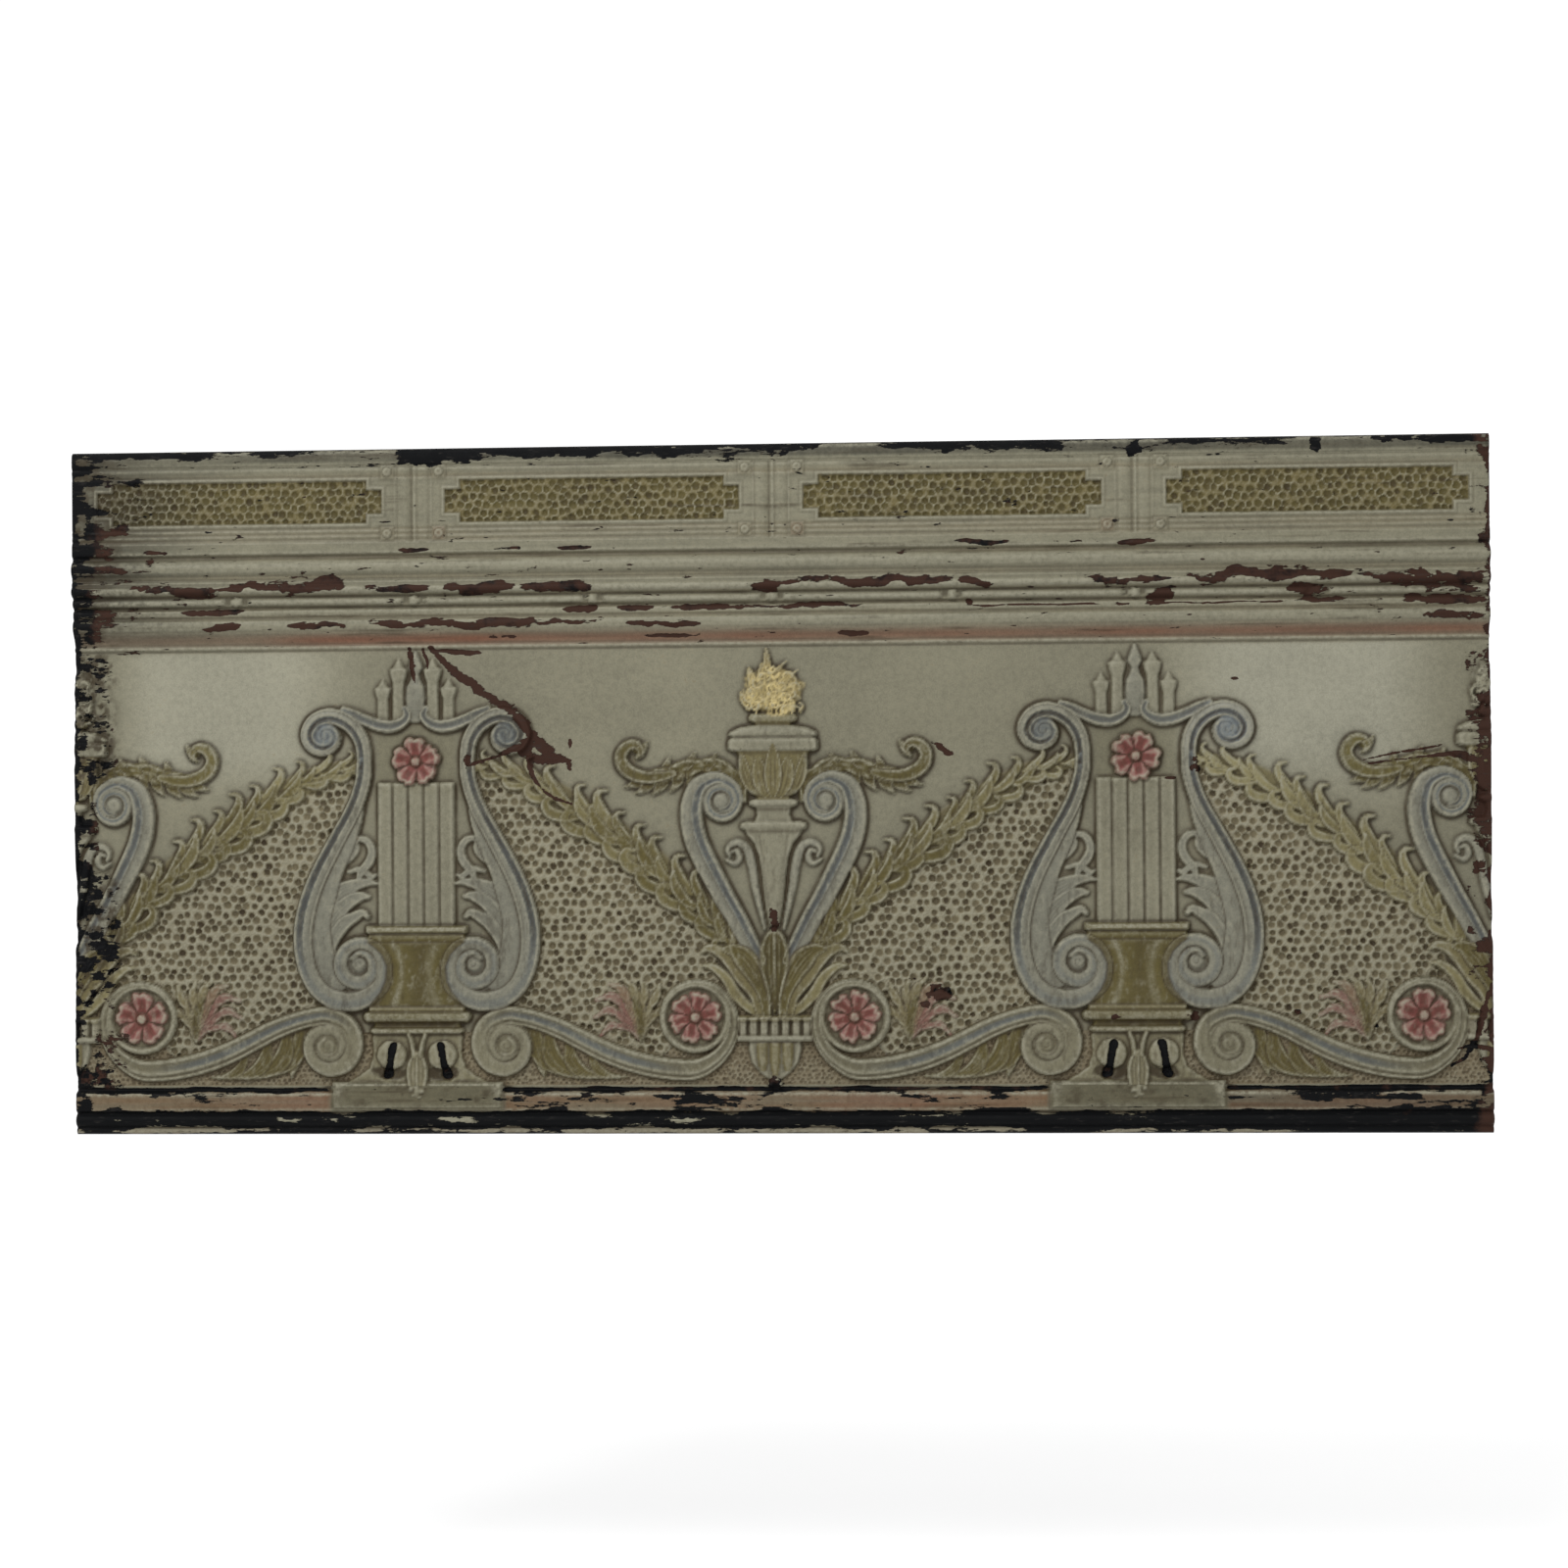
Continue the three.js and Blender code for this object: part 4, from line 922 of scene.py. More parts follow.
def draw_torch(sheet, x, colours, rng, gilded):
    """A torch: tapering stem, leafy cup, lid and flame, with scrolled arms and acanthus."""
    draw_torch_stem(sheet, x, colours)
    for side in (-1, 1):
        for path in ([(37, 233, 1.6), (39, 238, 2.2), (36, 243, 3), (29, 244.5, 3.6), (22.5, 239, 4),
                      (18.6, 226, 4), (15.5, 206, 3.4), (11.5, 188, 2.6), (8, 172, 1.4)],
                     [(40, 230, 1.4), (33, 227, 2.6), (29, 232, 3), (31, 238, 2.4), (35, 237, 1.6)]):
            band(sheet, stroke(path, x, side), STEM, 4.4, colours.blue_pale, 0.6, rim=0.3)
        draw_torch_acanthus(sheet, x, side, colours)
        eye_x = x + side * TORCH_EYE[0]
        draw_volute_bed(sheet, eye_x, TORCH_EYE[1], 22, 22, 3.2, colours.blue_pale)
        window, across, along = band(sheet, placed(torch_arm_path(), x, side), FLANGED, 6.8,
                                     colours.blue_pale, 0.85, side=side, rim=0.35)
        sheet.paint(window, 0.95 * line_at(across, -0.36, 0.34, 4), colours.blue)
        sheet.darken(window, 0.5 * line_at(across, 0.04, 0.07) * step_up(0.3, 0.4, along))
        boss(sheet, eye_x, TORCH_EYE[1], 7.4, 6.8, colours.blue_pale, 0.1)
    draw_torch_leaves(sheet, x, colours)
    draw_flame(sheet, x, colours, rng, gilded)
    draw_pendant(sheet, x, colours)


def draw_torch_acanthus(sheet, x, side, colours):
    """The leafy arm that leaves the cup, wraps the volute and ends in an upturned curl."""
    tone = np.array(colours.olive) * 0.86
    for root, tip, width, hook in (((112, 303), (122, 289), 4.6, 0.3), ((104, 303), (111, 284), 5.4, 0.3),
                                   ((94, 304), (97, 284), 5.4, 0.3), ((82, 306), (82, 287), 5.0, 0.3),
                                   ((72, 308), (69, 294), 4.2, 0.3), ((92, 302), (84, 314), 4, -0.3),
                                   ((74, 306), (62, 317), 4, -0.3), ((56, 306), (44, 316), 4, -0.3)):
        leaf(sheet, x, side, root, tip, width, 5.0, tone, bend=-0.12, hook=hook, rim=0.8, ribbed=True)
    frond(sheet, stroke([(24, 280, 3), (28, 295, 5), (37, 305, 6.6), (52, 309.5, 7.4), (69, 308, 8),
                         (86, 303, 8.2), (101, 300, 7), (112, 299, 4)], x, side), 6.2, 4, tone, 0.34)
    band(sheet, stroke([(84, 303, 3), (100, 300, 5), (114, 301.5, 6), (125, 308, 6.2), (128.5, 318, 5.6),
                        (123, 326.5, 5), (115, 327.5, 4), (111, 321, 3), (115, 317, 1.6)], x, side), VEINED,
         6.0, tone, 0.9, rim=0.7)
    leaf(sheet, x, side, (119, 322), (106, 330), 4, 6.0, tone, bend=0.2, rim=0.8)


def draw_torch_stem(sheet, x, colours):
    """The turned parts of a torch from its foot to the dish under the flame, each with its own roundness."""
    field = colours.field
    pale = colours.olive_pale
    for tint, roundness, outline, rows in (
            (field, 0.35, 0.7, [(174, 5, 3), (190, 8, 4.2), (215, 10.4, 5), (233, 13, 5.4), (244, 17, 5.8),
                                (251, 23, 6.2), (256, 25, 6.4)]),
            (field, 0.3, 0.45, [(176, 3.5, 4), (190, 5, 5.2), (215, 7.6, 6), (240, 10, 6.4), (256, 12, 6.6)]),
            (field, 0.2, 0.7, [(255.5, 26, 5), (257, 28.4, 7.0), (260.6, 28.4, 7.4), (262.4, 23, 6)]),
            (field, 0.4, 0.7, [(262, 17, 5.2), (268, 14.4, 5.2), (275, 16, 5.2)]),
            (field, 0.2, 0.7, [(274.6, 17, 5), (276.4, 21, 7.0), (279.4, 21, 7.0), (281.4, 16, 5.4)]),
            (pale, 0.45, 0.7, [(281, 13, 5), (288, 20, 5.8), (302, 25, 6.4), (314, 28, 6.6),
                               (322.5, 32, 6.6)]),
            (field, 0.15, 0.7, [(321, 34, 6.4), (323, 38.4, 8.0), (330, 38.4, 8.4), (332.6, 36, 7.2)]),
            (field, 0.3, 0.7, [(332.4, 33, 5), (334.6, 38, 7.2), (337.4, 37, 7.6), (341, 30, 6.4),
                               (343.4, 17, 5)]),
            (pale, 0.3, 0.7, [(343, 14.5, 4.4), (345.4, 17, 5), (347, 20.4, 6.6), (350, 21, 6.8),
                              (353, 19, 5.4)])):
        turned(sheet, x, rows, tint, roundness, outline)
    # painted shade in lines round the collars and under the dish
    for z, half in ((254, 24), (272.5, 17), (284, 17), (320, 34)):
        window, off, heights = sheet.around(x, half + 4, z - 6, z + 6)
        shade = line_at(heights, z, 1.8) * step_up(half + 3, half - 3, np.abs(off))
        sheet.darken(window, 0.75 * shade)


def draw_torch_leaves(sheet, x, colours):
    """Leaves round the cup, and the tuft at the foot of the stem."""
    for k in (-1, 1):
        leaf(sheet, x, k, (15, 284), (27, 322), 5, 7.4, colours.olive_pale, bend=-0.06, low=0.7, rim=1.0)
        leaf(sheet, x, k, (5, 282), (13, 318), 7.4, 8.0, colours.olive_pale, bend=-0.04, low=0.7, rim=1.0)
        for tone, height, path in (
                (colours.laurel, 4.8,
                 [(10, 99, 3), (22, 106, 4.4), (33, 118, 5), (42, 132, 4.6), (52, 140, 3.4), (60, 141, 1.2)]),
                (colours.olive_pale, 5.6,
                 [(12, 99, 3), (17, 116, 4.6), (27, 130, 6), (36, 144, 6.6), (46, 153, 5), (56, 156, 3.4),
                  (62, 152, 1)]),
                (colours.olive, 6.4,
                 [(6, 99, 3.4), (9, 118, 5.6), (16, 134, 8.4), (25, 147, 9.6), (34, 154, 6),
                  (42, 155, 2.4)])):
            band(sheet, stroke(path, x, k), VEINED, height, tone, 0.9, side=k, rim=0.7)
    leaf(sheet, x, 1, (0, 282), (0, 328), 7.5, 8.6, colours.olive_pale, low=0.7, rim=1.0)
    leaf(sheet, x, 1, (0, 98), (0, 172), 12.5, 7.4, np.array(colours.olive) * 0.85, low=0.5, blunt=True,
         rim=0.7, ribbed=True)


def age_ornament(sheet):
    """Dry brushing: brown left in streaks over the raised work, and the paint worn thin in others."""
    x = sheet.x
    z = sheet.z
    raised = step_up(0.9, 2.2, sheet.h) * step_up(FIELD_TOP, FIELD_TOP - 3, z)
    for lyre in LYRES:
        raised = raised * (1 - 0.6 * step_up(36, 34, np.abs(x - lyre)) * step_up(168, 172, z))
    dirty = ragged_noise(x, z * 0.35, 2.6, SEED + 81, 3)
    rubbed_and_highlight = ragged_noise(x, z * 0.5, 3.0, SEED + 87, 3)
    broad = ragged_noise(x, z, 40, SEED + 93, 3)
    sheet.darken(WHOLE, raised * 0.45 * step_up(0.5, 0.85, dirty + 0.5 * (broad - 0.5)))
    sheet.brighten(WHOLE, raised * 0.55 * step_up(0.5, 0.85, rubbed_and_highlight - 0.3 * (broad - 0.5)))


def draw_flame(sheet, x, colours, rng, gilded):
    """The flame: a heap of small curls with tongues that stand up from it."""
    base = np.array(colours.gold if gilded else colours.field)
    window, u, z = sheet.around(x, 34, 350, 415)
    ruffle = ragged_noise(sheet.x[window], z, 9, SEED + 71) - 0.5
    heap = np.hypot(u / 25, (z - 372) / 21) * (1 + 0.5 * ruffle)
    sheet.paint(window, step_up(1.05, 0.9, heap), base * 0.8)
    sheet.lift(window, np.where(heap < 1, 4.6 * np.sqrt(np.clip(1 - heap ** 2, 0, 1)), -9))
    tongues = [((-15, 358), (-20, 388)), ((-8, 362), (-11, 394)), ((0, 362), (3, 409)), ((8, 358), (13, 391)),
               ((15, 356), (23, 379)), ((-16, 356), (-25, 373)), ((4, 366), (7, 398)), ((-3, 360), (-4, 396))]
    for root, tip in tongues:
        leaf(sheet, x, 1, root, tip, rng.uniform(3.6, 5.2), rng.uniform(4.6, 6),
             base * rng.uniform(0.8, 1.15), bend=rng.choice([-1, 1]) * rng.uniform(0.08, 0.2), low=0.6,
             hook=rng.uniform(-0.3, 0.3))
    for _ in range(64):
        fx = rng.uniform(-22, 22)
        fz = rng.uniform(354, 394 - abs(fx) * 0.7)
        arc = curl((fx, fz), rng.uniform(0, 360), rng.choice([-1, 1]) * rng.uniform(140, 300),
                   (rng.uniform(3, 6), 1.6), (1.1, 0.6), 200)
        band(sheet, placed(arc, x), ROUND, rng.uniform(5, 6.6), base * rng.uniform(0.85, 1.5), 0.7, rim=0.3)


def draw_pendant(sheet, x, colours):
    """The ribbed drop under a torch, with its toothed collar and the small ring below it."""
    turned(sheet, x, [(45, 5, 2.6), (52, 14, 3.2), (60, 20, 3.6), (70, 22.4, 4), (78, 22.6, 4)],
           colours.field, 0.2)
    for k in (-1, 0, 1):
        turned(sheet, x + k * 10.5, [(49 + 4 * abs(k), 2.4, 3.6), (60, 4.4, 5.6), (77, 5.2, 6)],
               colours.olive_pale, 0.6)
    plate(sheet, x - 32, x + 32, 77.5, 83, 6.8, colours.field)
    window, u, _ = sheet.around(x, 30, 83, 97.5)
    tooth = np.interp(np.abs((u / 9.0 + 0.5) % 1.0 - 0.5), [0, 0.3, 0.4, 0.5], [1, 1, 0.35, 0.3])
    sheet.lift(window, 5.8 * tooth)
    sheet.paint(window, np.full(u.shape, 0.7), colours.field)
    sheet.darken(window, 0.8 * step_up(0.9, 0.4, tooth))
    plate(sheet, x - 32, x + 32, 94.5, 99, 7.0, colours.olive_pale)
    boss(sheet, x, 41, 6.0, 5.6, colours.field, 0.9, 0.4)


def draw_field(sheet, colours):
    """Everything between the cornice and the base."""
    rng = np.random.default_rng(SEED)
    draw_grounds(sheet, colours)
    for x in LYRES:
        for side in (-1, 1):
            draw_garland(sheet, x, side, colours, rng)
    for x in TORCHES:
        draw_torch(sheet, x, colours, rng, x == 0)
    draw_plinths(sheet, colours)
    for x in LYRES:
        for side in (-1, 1):
            draw_scroll(sheet, x, side, colours)
        draw_lyre(sheet, x, colours)


def draw_cornice(sheet, colours):
    """Hammered pockets, bars, corner buttons and stamped bosses of the cornice."""
    half = REPEAT / 2
    net = np.array(colours.olive_pale) * (0.76, 0.7, 0.6) + np.array(colours.gold) * 0.1
    for k in range(-2, 2):
        x0 = max(k * half + 27.0, -LENGTH / 2 + 22)
        x1 = min((k + 1) * half - 27.0, LENGTH / 2 - 12)
        window = sheet.window(x0 - 6, x1 + 6, POCKET_LOW - 9, POCKET_HIGH + 9)
        x = sheet.x[window]
        z = sheet.z[window]
        ragged = 1.6 * (ragged_noise(x, z, 6, SEED + 15) - 0.5)
        body = np.minimum(np.minimum(x - x0 - TAB_REACH, x1 - TAB_REACH - x),
                          np.minimum(z - POCKET_LOW, POCKET_HIGH - z))
        tabs = np.minimum(np.minimum(x - x0, x1 - x), np.minimum(z - TAB_LOW, TAB_HIGH - z))
        inset = np.maximum(body, tabs)
        inside = step_up(-0.4, 0.9, inset)
        sheet.h[window] += 0.6 * line_at(inset, -1.6, 0.9) - 0.4 * line_at(inset, -3.6, 0.7)
        sheet.h[window] -= 1.2 * inside
        sheet.darken(window, 0.8 * line_at(inset, -0.1, 0.8) + 0.35 * line_at(inset, -3.6, 0.8))
        sheet.paint(window, step_up(-0.6, 0.8, inset + ragged), colours.olive)
        hammer(sheet, window, inside, pitch=7.4, radius=3.2, depth=1.3, stain=0.75, seed=SEED + 11 + k,
               net=net)
    for x in (-half, 0.0, half):
        window, off, z = sheet.around(x, 17, BAND_LOW - 1, BAND_HIGH + 1)
        end = step_up(BAND_LOW, BAND_LOW + 3, z) * step_up(BAND_HIGH, BAND_HIGH - 3, z)
        for at, wide, rise in ((-9, 4.2, 1.1), (8.5, 4.2, 1.1), (1.4, 1.0, 1.0), (-15.2, 0.8, 0.6),
                               (15.2, 0.8, 0.6)):
            sheet.h[window] += rise * line_at(off, at, wide, 4) * end
        sheet.h[window] -= 0.9 * line_at(off, -1.6, 1.0) * end
        sheet.darken(window, (0.95 * line_at(off, -1.6, 0.9) + 0.4 * line_at(off, 3.3, 0.7)
                              + 0.45 * line_at(np.abs(off), 13.6, 0.7)) * end)
        # painted highlight on the narrow ridge beside the groove of each bar
        sheet.brighten(window, 0.6 * line_at(off, 1.2, 0.7) * end)
        for side in (-1, 1):
            for bz in BUTTON_ROWS:
                bx = x + side * BUTTON_OUT
                window, u, z = sheet.around(bx, 8, bz - 8, bz + 8)
                pad = np.maximum(np.abs(u), np.abs(z - bz))
                sheet.lift(window, np.where(pad < 6, 9.4 * np.clip(0.86 + (6 - pad) / 9, 0, 1), -9))
                sheet.darken(window, 0.55 * line_at(pad, 6.6, 0.8))
                boss(sheet, bx, bz, 3.8, 2.8, None, 0.5, 8.8)
                sheet.paint(window, 0.3 * (side * bz * (x + 1) % 5 > 2) * step_up(6, 4, pad), colours.rust)
    for k in range(-3, 4):
        x = k * half / 2
        window, u, z = sheet.around(x, 18, 444, 459)
        u = np.abs(u)
        reed = (z > 447) & (z < 455.6)
        gap = step_up(11, 9, u - 1.6 * ((z - 451.3) / 4) ** 2)
        floor = np.where(reed, 6.2, 99)
        sheet.h[window] = np.minimum(sheet.h[window], floor * gap + 99 * (1 - gap))
        sheet.darken(window, reed * 0.7 * line_at(u, 10.4, 1.2))
        boss(sheet, x, STUD_Z, 4.2, 3.8, None, 0.0, 5.8)


# Wear: where the paint has gone

STREAKS = [
    (-545, -462, 462, 3.4), (-475, -415, 463, 3), (-420, -363, 466, 6.5), (-343, -290, 461, 3),
    (-280, -215, 462, 3.4), (-212, -147, 461, 3.8), (-22, 8, 460, 4), (-10, 145, 463, 3.2),
    (158, 187, 461, 2.4), (260, 340, 462, 3.6), (312, 338, 449, 6), (345, 500, 463, 4.6), (430, 470, 450, 5),
    (500, 596, 460, 6), (-500, -450, 444, 2.2), (-175, -147, 443, 2.6), (-130, -99, 443, 2.2),
    (-87, 70, 443.4, 2.2), (162, 169, 444, 2), (440, 480, 443, 2.4), (515, 596, 443, 3), (175, 300, 442, 0.7),
    (310, 430, 442, 0.6), (-483, -452, 431, 2.4), (-414, -360, 431, 2.6), (-347, -150, 431.5, 3),
    (-122, -60, 430, 2.2), (540, 596, 431, 3.4), (-240, -217, 420, 1.8), (-106, -60, 420, 1.8),
    (56, 80, 420, 1.6), (-532, -513, 494, 1.4), (-315, -290, 494, 1.6), (-235, -210, 494, 1.4),
    (-180, -152, 494, 1.4), (155, 199, 495, 1.5), (249, 262, 494, 1.3), (288, 322, 494, 1.6),
    (-315, -245, 574, 6), (-292, -278, 566, 6), (-240, -100, 575, 5), (-100, -45, 576, 4),
    (-10, 42, 576, 4.4), (144, 155, 573, 4), (220, 244, 574, 4), (298, 308, 572, 5), (449, 457, 572, 6),
    (500, 596, 577, 3.4), (-596, -470, 577, 3), (-285, -247, 408, 1.8),
]
CRACKS = [
    [(-290, 411, 2), (-275, 395, 3), (-255, 380, 4), (-237, 368, 3.4), (-222, 358, 4.4), (-210, 345, 3.6),
     (-200, 332, 4.6), (-190, 322, 5), (-184, 314, 2)],
    [(-255, 312, 1.6), (-238, 318, 1.8), (-215, 326, 4.4), (-203, 334, 5)],
    [(-208, 326, 3), (-205, 308, 2.2), (-198, 294, 1.6), (-186, 284, 1.2), (-170, 278, 0.8)],
    [(-214, 322, 3), (-196, 316, 4), (-176, 316, 4), (-172, 308, 2)],
    [(492, 310, 0.8), (515, 315, 0.9), (540, 319, 1.2), (556, 322, 0.9)],
    [(496, 307, 1.2), (520, 310, 0.8), (548, 313, 1.2), (572, 314, 3), (588, 306, 4)],
    [(132, 328, 1), (138, 326, 2), (146, 319, 2.4), (150, 318, 1.2)],
    [(562, 56, 1.2), (574, 64, 1.8), (582, 80, 2.2), (588, 100, 2.6), (592, 116, 2)],
    [(566, 70, 1), (578, 72, 1.6), (594, 70, 2)],
    [(-309, 411, 1.6), (-306, 400, 2.4), (-305, 390, 1.8), (-303, 382, 0.8)],
    [(-297, 410, 1.4), (-294, 402, 1.4), (-292, 394, 0.8)],
]
SPOTS = [(0, 178, 3.6, 9), (0, 43, 4.6, 4.6), (386, 379, 3.6, 1.4), (-172, 330, 1.4, 5), (352, 308, 3.6, 6),
         (-258, 318, 3, 6), (332, 296, 7, 1), (286, 98, 4, 2.2), (349, 98, 5, 3), (500, 89, 2, 2),
         (436, 101, 2.4, 2.4), (138, 118, 10, 6), (126, 108, 5, 3), (118, 130, 4, 2), (586, 220, 5, 5)]


def draw_streaks(sheet):
    """Chips along the mouldings, the long scratches, and odd spots."""
    x = sheet.x
    z = sheet.z
    long_tear = ragged_noise(x * 0.3, z, 7, SEED + 21, 4) - 0.5
    fine_tear = ragged_noise(x * 0.7, z, 3, SEED + 25, 3) - 0.5
    wander = ragged_noise(x, z * 0, 26, SEED + 27, 3) - 0.5
    for x0, x1, line, half in STREAKS:
        reach = half * 3 + 4
        window = sheet.window(x0 - 14, x1 + 14, line - reach, line + reach)
        u = np.abs(x[window] - (x0 + x1) / 2) / ((x1 - x0) / 2)
        v = np.abs(z[window] - line + wander[window] * half * 2.6) / half
        worn = 1.02 - 0.5 * (u ** 5 + v ** 1.5) + long_tear[window] * 1.7 + fine_tear[window] * 0.9
        sheet.chip(window, worn)
    for points in CRACKS:
        window, across, along = follow(sheet, smooth_path(points), 2.2)
        worn = 1.0 - 0.5 * np.abs(across) ** 1.5 + long_tear[window] * 0.7 + fine_tear[window] * 0.9
        sheet.chip(window, np.where(np.abs(across) < 2.2, worn, 0))
    for spot_x, spot_z, a, b in SPOTS:
        window = sheet.window(spot_x - a * 3, spot_x + a * 3, spot_z - b * 3, spot_z + b * 3)
        gap = np.hypot((x[window] - spot_x) / a, (z[window] - spot_z) / b)
        worn = 1.0 - 0.5 * gap ** 1.6 + long_tear[window] + fine_tear[window] * 1.6
        sheet.chip(window, worn)


def draw_wear(sheet):
    """Worn edges, the chipped base and the streaks along the cornice."""
    x = sheet.x
    z = sheet.z
    slots = sheet.bare.copy()
    draw_streaks(sheet)
    long_noise = ragged_noise(x * 0.16, z, 6, SEED + 31, 4) - 0.5
    spot_noise = ragged_noise(x, z, 12, SEED + 37, 4) - 0.5
    speck_noise = ragged_noise(x * 0.3, z, 3.6, SEED + 39, 3) - 0.5
    base = np.interp(z, [0, 1.5, 3.5, 5, 6.5, 10, 12, 14, 16, 18.6, 19.8, 21, 25, 30, 34, 35.8, 36.8, 38.6,
                         39.6, 41],
                     [0.66, 0.46, 0.46, 0.7, 1.0, 1.0, 0.74, 0.86, 1.0, 0.92, 0.6, 0.27, 0.19, 0.22, 0.17,
                      0.34, 0.96, 0.96, 0.3, 0.0])
    in_plinth = np.zeros_like(x)
    for lyre in LYRES:
        beside = step_up(PLINTH_HALF + 3, PLINTH_HALF, np.abs(x - lyre))
        in_plinth = np.maximum(in_plinth, beside * step_up(18, 22, z))
    base = base * (1 - 0.8 * in_plinth)
    right = step_up(150, 560, x)
    left = step_up(-150, -560, x)
    ends = step_up(LENGTH / 2 - 26, LENGTH / 2 - 1, np.abs(x))
    rim = step_up(LENGTH / 2 - 5, LENGTH / 2 - 1, np.abs(x))
    amount = base * (0.88 + 0.4 * right + 0.7 * step_up(430, 540, x)) + long_noise * 1.9 * (base > 0.01)
    crown = np.interp(z, [HEIGHT - 16, HEIGHT - 8, HEIGHT - 3, HEIGHT], [0, 0.34, 0.62, 0.8])
    thin = 0.4 * left + 0.3 * step_up(-60, 40, x)
    amount = np.maximum(amount, crown * (1 - thin) + long_noise * 1.6 * (crown > 0.01))
    side = (0.44 + 0.04 * left) * ends + 0.3 * rim + spot_noise * 1.9 * (ends > 0.02)
    amount = np.maximum(amount, side * step_up(0.0, 0.2, ends))
    mouldings = np.maximum(step_up(FIELD_TOP, FIELD_TOP + 3, z), step_up(FIELD_BOTTOM, FIELD_BOTTOM - 3, z))
    amount = np.maximum(amount, mouldings * (speck_noise * 1.7 - 0.08))
    crumple = left_crumple(x, z)
    amount = np.maximum(amount, crumple * (0.4 + (spot_noise + 0.6 * speck_noise) * 1.6))
    soot = ragged_noise(x, z, 5, SEED + 47)
    sheet.darken(WHOLE, 1.3 * crumple * step_up(0.35, 0.65, soot))
    right_patch = step_up(560, 592, x) * step_up(226, 250, z) * step_up(345, 325, z)
    amount = np.maximum(amount, right_patch * (0.5 + spot_noise * 1.6))
    charred = step_up(-520, -592, x) * step_up(405, 420, z)
    amount = np.maximum(amount, charred * 0.52 + (long_noise + 0.6 * spot_noise) * 1.5 * (charred > 0.02))
    sheet.darken(WHOLE, 1.2 * charred * step_up(0.3, 0.6, soot))
    corner = step_up(-540, -590, x) * step_up(125, 60, z)
    amount = np.maximum(amount, corner * 0.55 + spot_noise * 1.6 * (corner > 0.02))
    sheet.chip(WHOLE, amount)
    primer = np.interp(z, [0, 34, 44, 60, 400, 450, 480, 560, 572],
                       [0.0, 0.2, 0.5, 0.9, 0.85, 0.7, 0.6, 0.2, 0.0])
    primer = np.maximum(primer * (1 - crumple) * (1 - left * ends), right * ends * 0.8)
    sheet.stain = np.where(sheet.pit > PITTED, primer * (slots < 0.3), sheet.stain)


def dent_sheet(sheet):
    """Slight buckles of the old sheet, rounded edges, and the crumpled left end."""
    x = sheet.x
    z = sheet.z
    sheet.h += (lattice_noise(x, z, 160, SEED + 51) - 0.5) * 0.9
    sheet.h += (lattice_noise(x, z, 46, SEED + 52) - 0.5) * 0.35
    patch = left_crumple(x, z)
    fold = ragged_noise(x, z * 0.7, 15, SEED + 53, 3)
    sheet.h += patch * (np.abs(fold - 0.5) * 13 - 2.4)
    edge = np.minimum(np.minimum(LENGTH / 2 - np.abs(x), HEIGHT - z), z)
    sheet.h -= 1.5 * (1 - np.sqrt(np.clip(1 - (1 - np.clip(edge / 1.6, 0, 1)) ** 2, 0, 1)))
    sheet.h -= 0.3 * step_up(0.42, 0.6, sheet.bare)


def left_crumple(x, z):
    """How much the left end is crushed at each point."""
    ragged = 14 * (ragged_noise(x, z, 22, SEED + 57) - 0.5)
    upper = step_up(-554, -574, x + ragged) * step_up(290, 312, z) * step_up(420, 398, z)
    lower = step_up(-548, -568, x + ragged) * step_up(108, 134, z) * step_up(236, 212, z)
    return np.maximum(upper, lower)


def box_blur(values, radius, cell):
    """Box blur run twice, with the edges held."""
    reach = max(1, int(round(radius / cell)))
    out = values
    for axis in (0, 1, 0, 1):
        pad = [(0, 0), (0, 0)]
        pad[axis] = (reach + 1, reach)
        total = np.cumsum(np.pad(out, pad, mode="edge"), axis=axis)
        width = 2 * reach + 1
        out = (np.take(total, range(width, total.shape[axis]), axis=axis)
               - np.take(total, range(total.shape[axis] - width), axis=axis)) / width
    return out


def weather(sheet, cell):
    """Brown glaze and painted shade settle in the hollows, painted shade lies on the ground among the
    ornament, and high lines are rubbed pale.
    """
    colours = bpy.context.scene.frieze_colours
    near = sheet.h - box_blur(sheet.h, 1.6, cell)
    wide = sheet.h - box_blur(sheet.h, 5.0, cell)
    quiet = 1 - 0.6 * step_up(FIELD_TOP - 1, FIELD_TOP + 1, sheet.z)
    patchy = 0.55 + 0.6 * ragged_noise(sheet.x, sheet.z, 14, SEED + 53)
    # the hollows get brown glaze and painted shade together
    hollow = np.clip((-near * 1.3 - wide * 0.08) * quiet * patchy, 0, 1)
    hollow = hollow * np.where(sheet.pit < PITTED, 0.5, 1.0)
    ridge = np.clip(near * 1.3 + wide * 0.1, 0, 1)
    sheet.glaze_and_shade = np.maximum(sheet.glaze_and_shade * (0.5 + 0.5 * quiet), hollow)
    sheet.rub_and_highlight = np.maximum(sheet.rub_and_highlight, ridge) * (1 - 0.75 * np.clip(sheet.glaze_and_shade, 0, 1))
    inner = (sheet.z > FIELD_BOTTOM) & (sheet.z < FIELD_TOP)
    # painted shade on the low ground where ornament crowds round it
    crowded = box_blur((sheet.h > 1.5).astype(float), 8.0, cell)
    painted_shade_among_ornament = step_up(0.4, 0.85, crowded) * step_up(1.8, 0.6, sheet.h) * inner
    painted_shade_among_ornament = painted_shade_among_ornament * (0.3 + 0.7 * ragged_noise(sheet.x, sheet.z, 12, SEED + 67))
    sheet.paint(WHOLE, 0.5 * painted_shade_among_ornament, colours.stipple_and_shade)


def front_points():
    """Every point of the finished front, in metres."""
    stacks = []
    for piece in bpy.data.objects:
        if piece.type == "MESH" and piece.get("frieze_front"):
            points = np.empty(len(piece.data.vertices) * 3, np.float32)
            piece.data.vertices.foreach_get("co", points)
            stacks.append(points.reshape(-1, 3))
    return np.vstack(stacks)


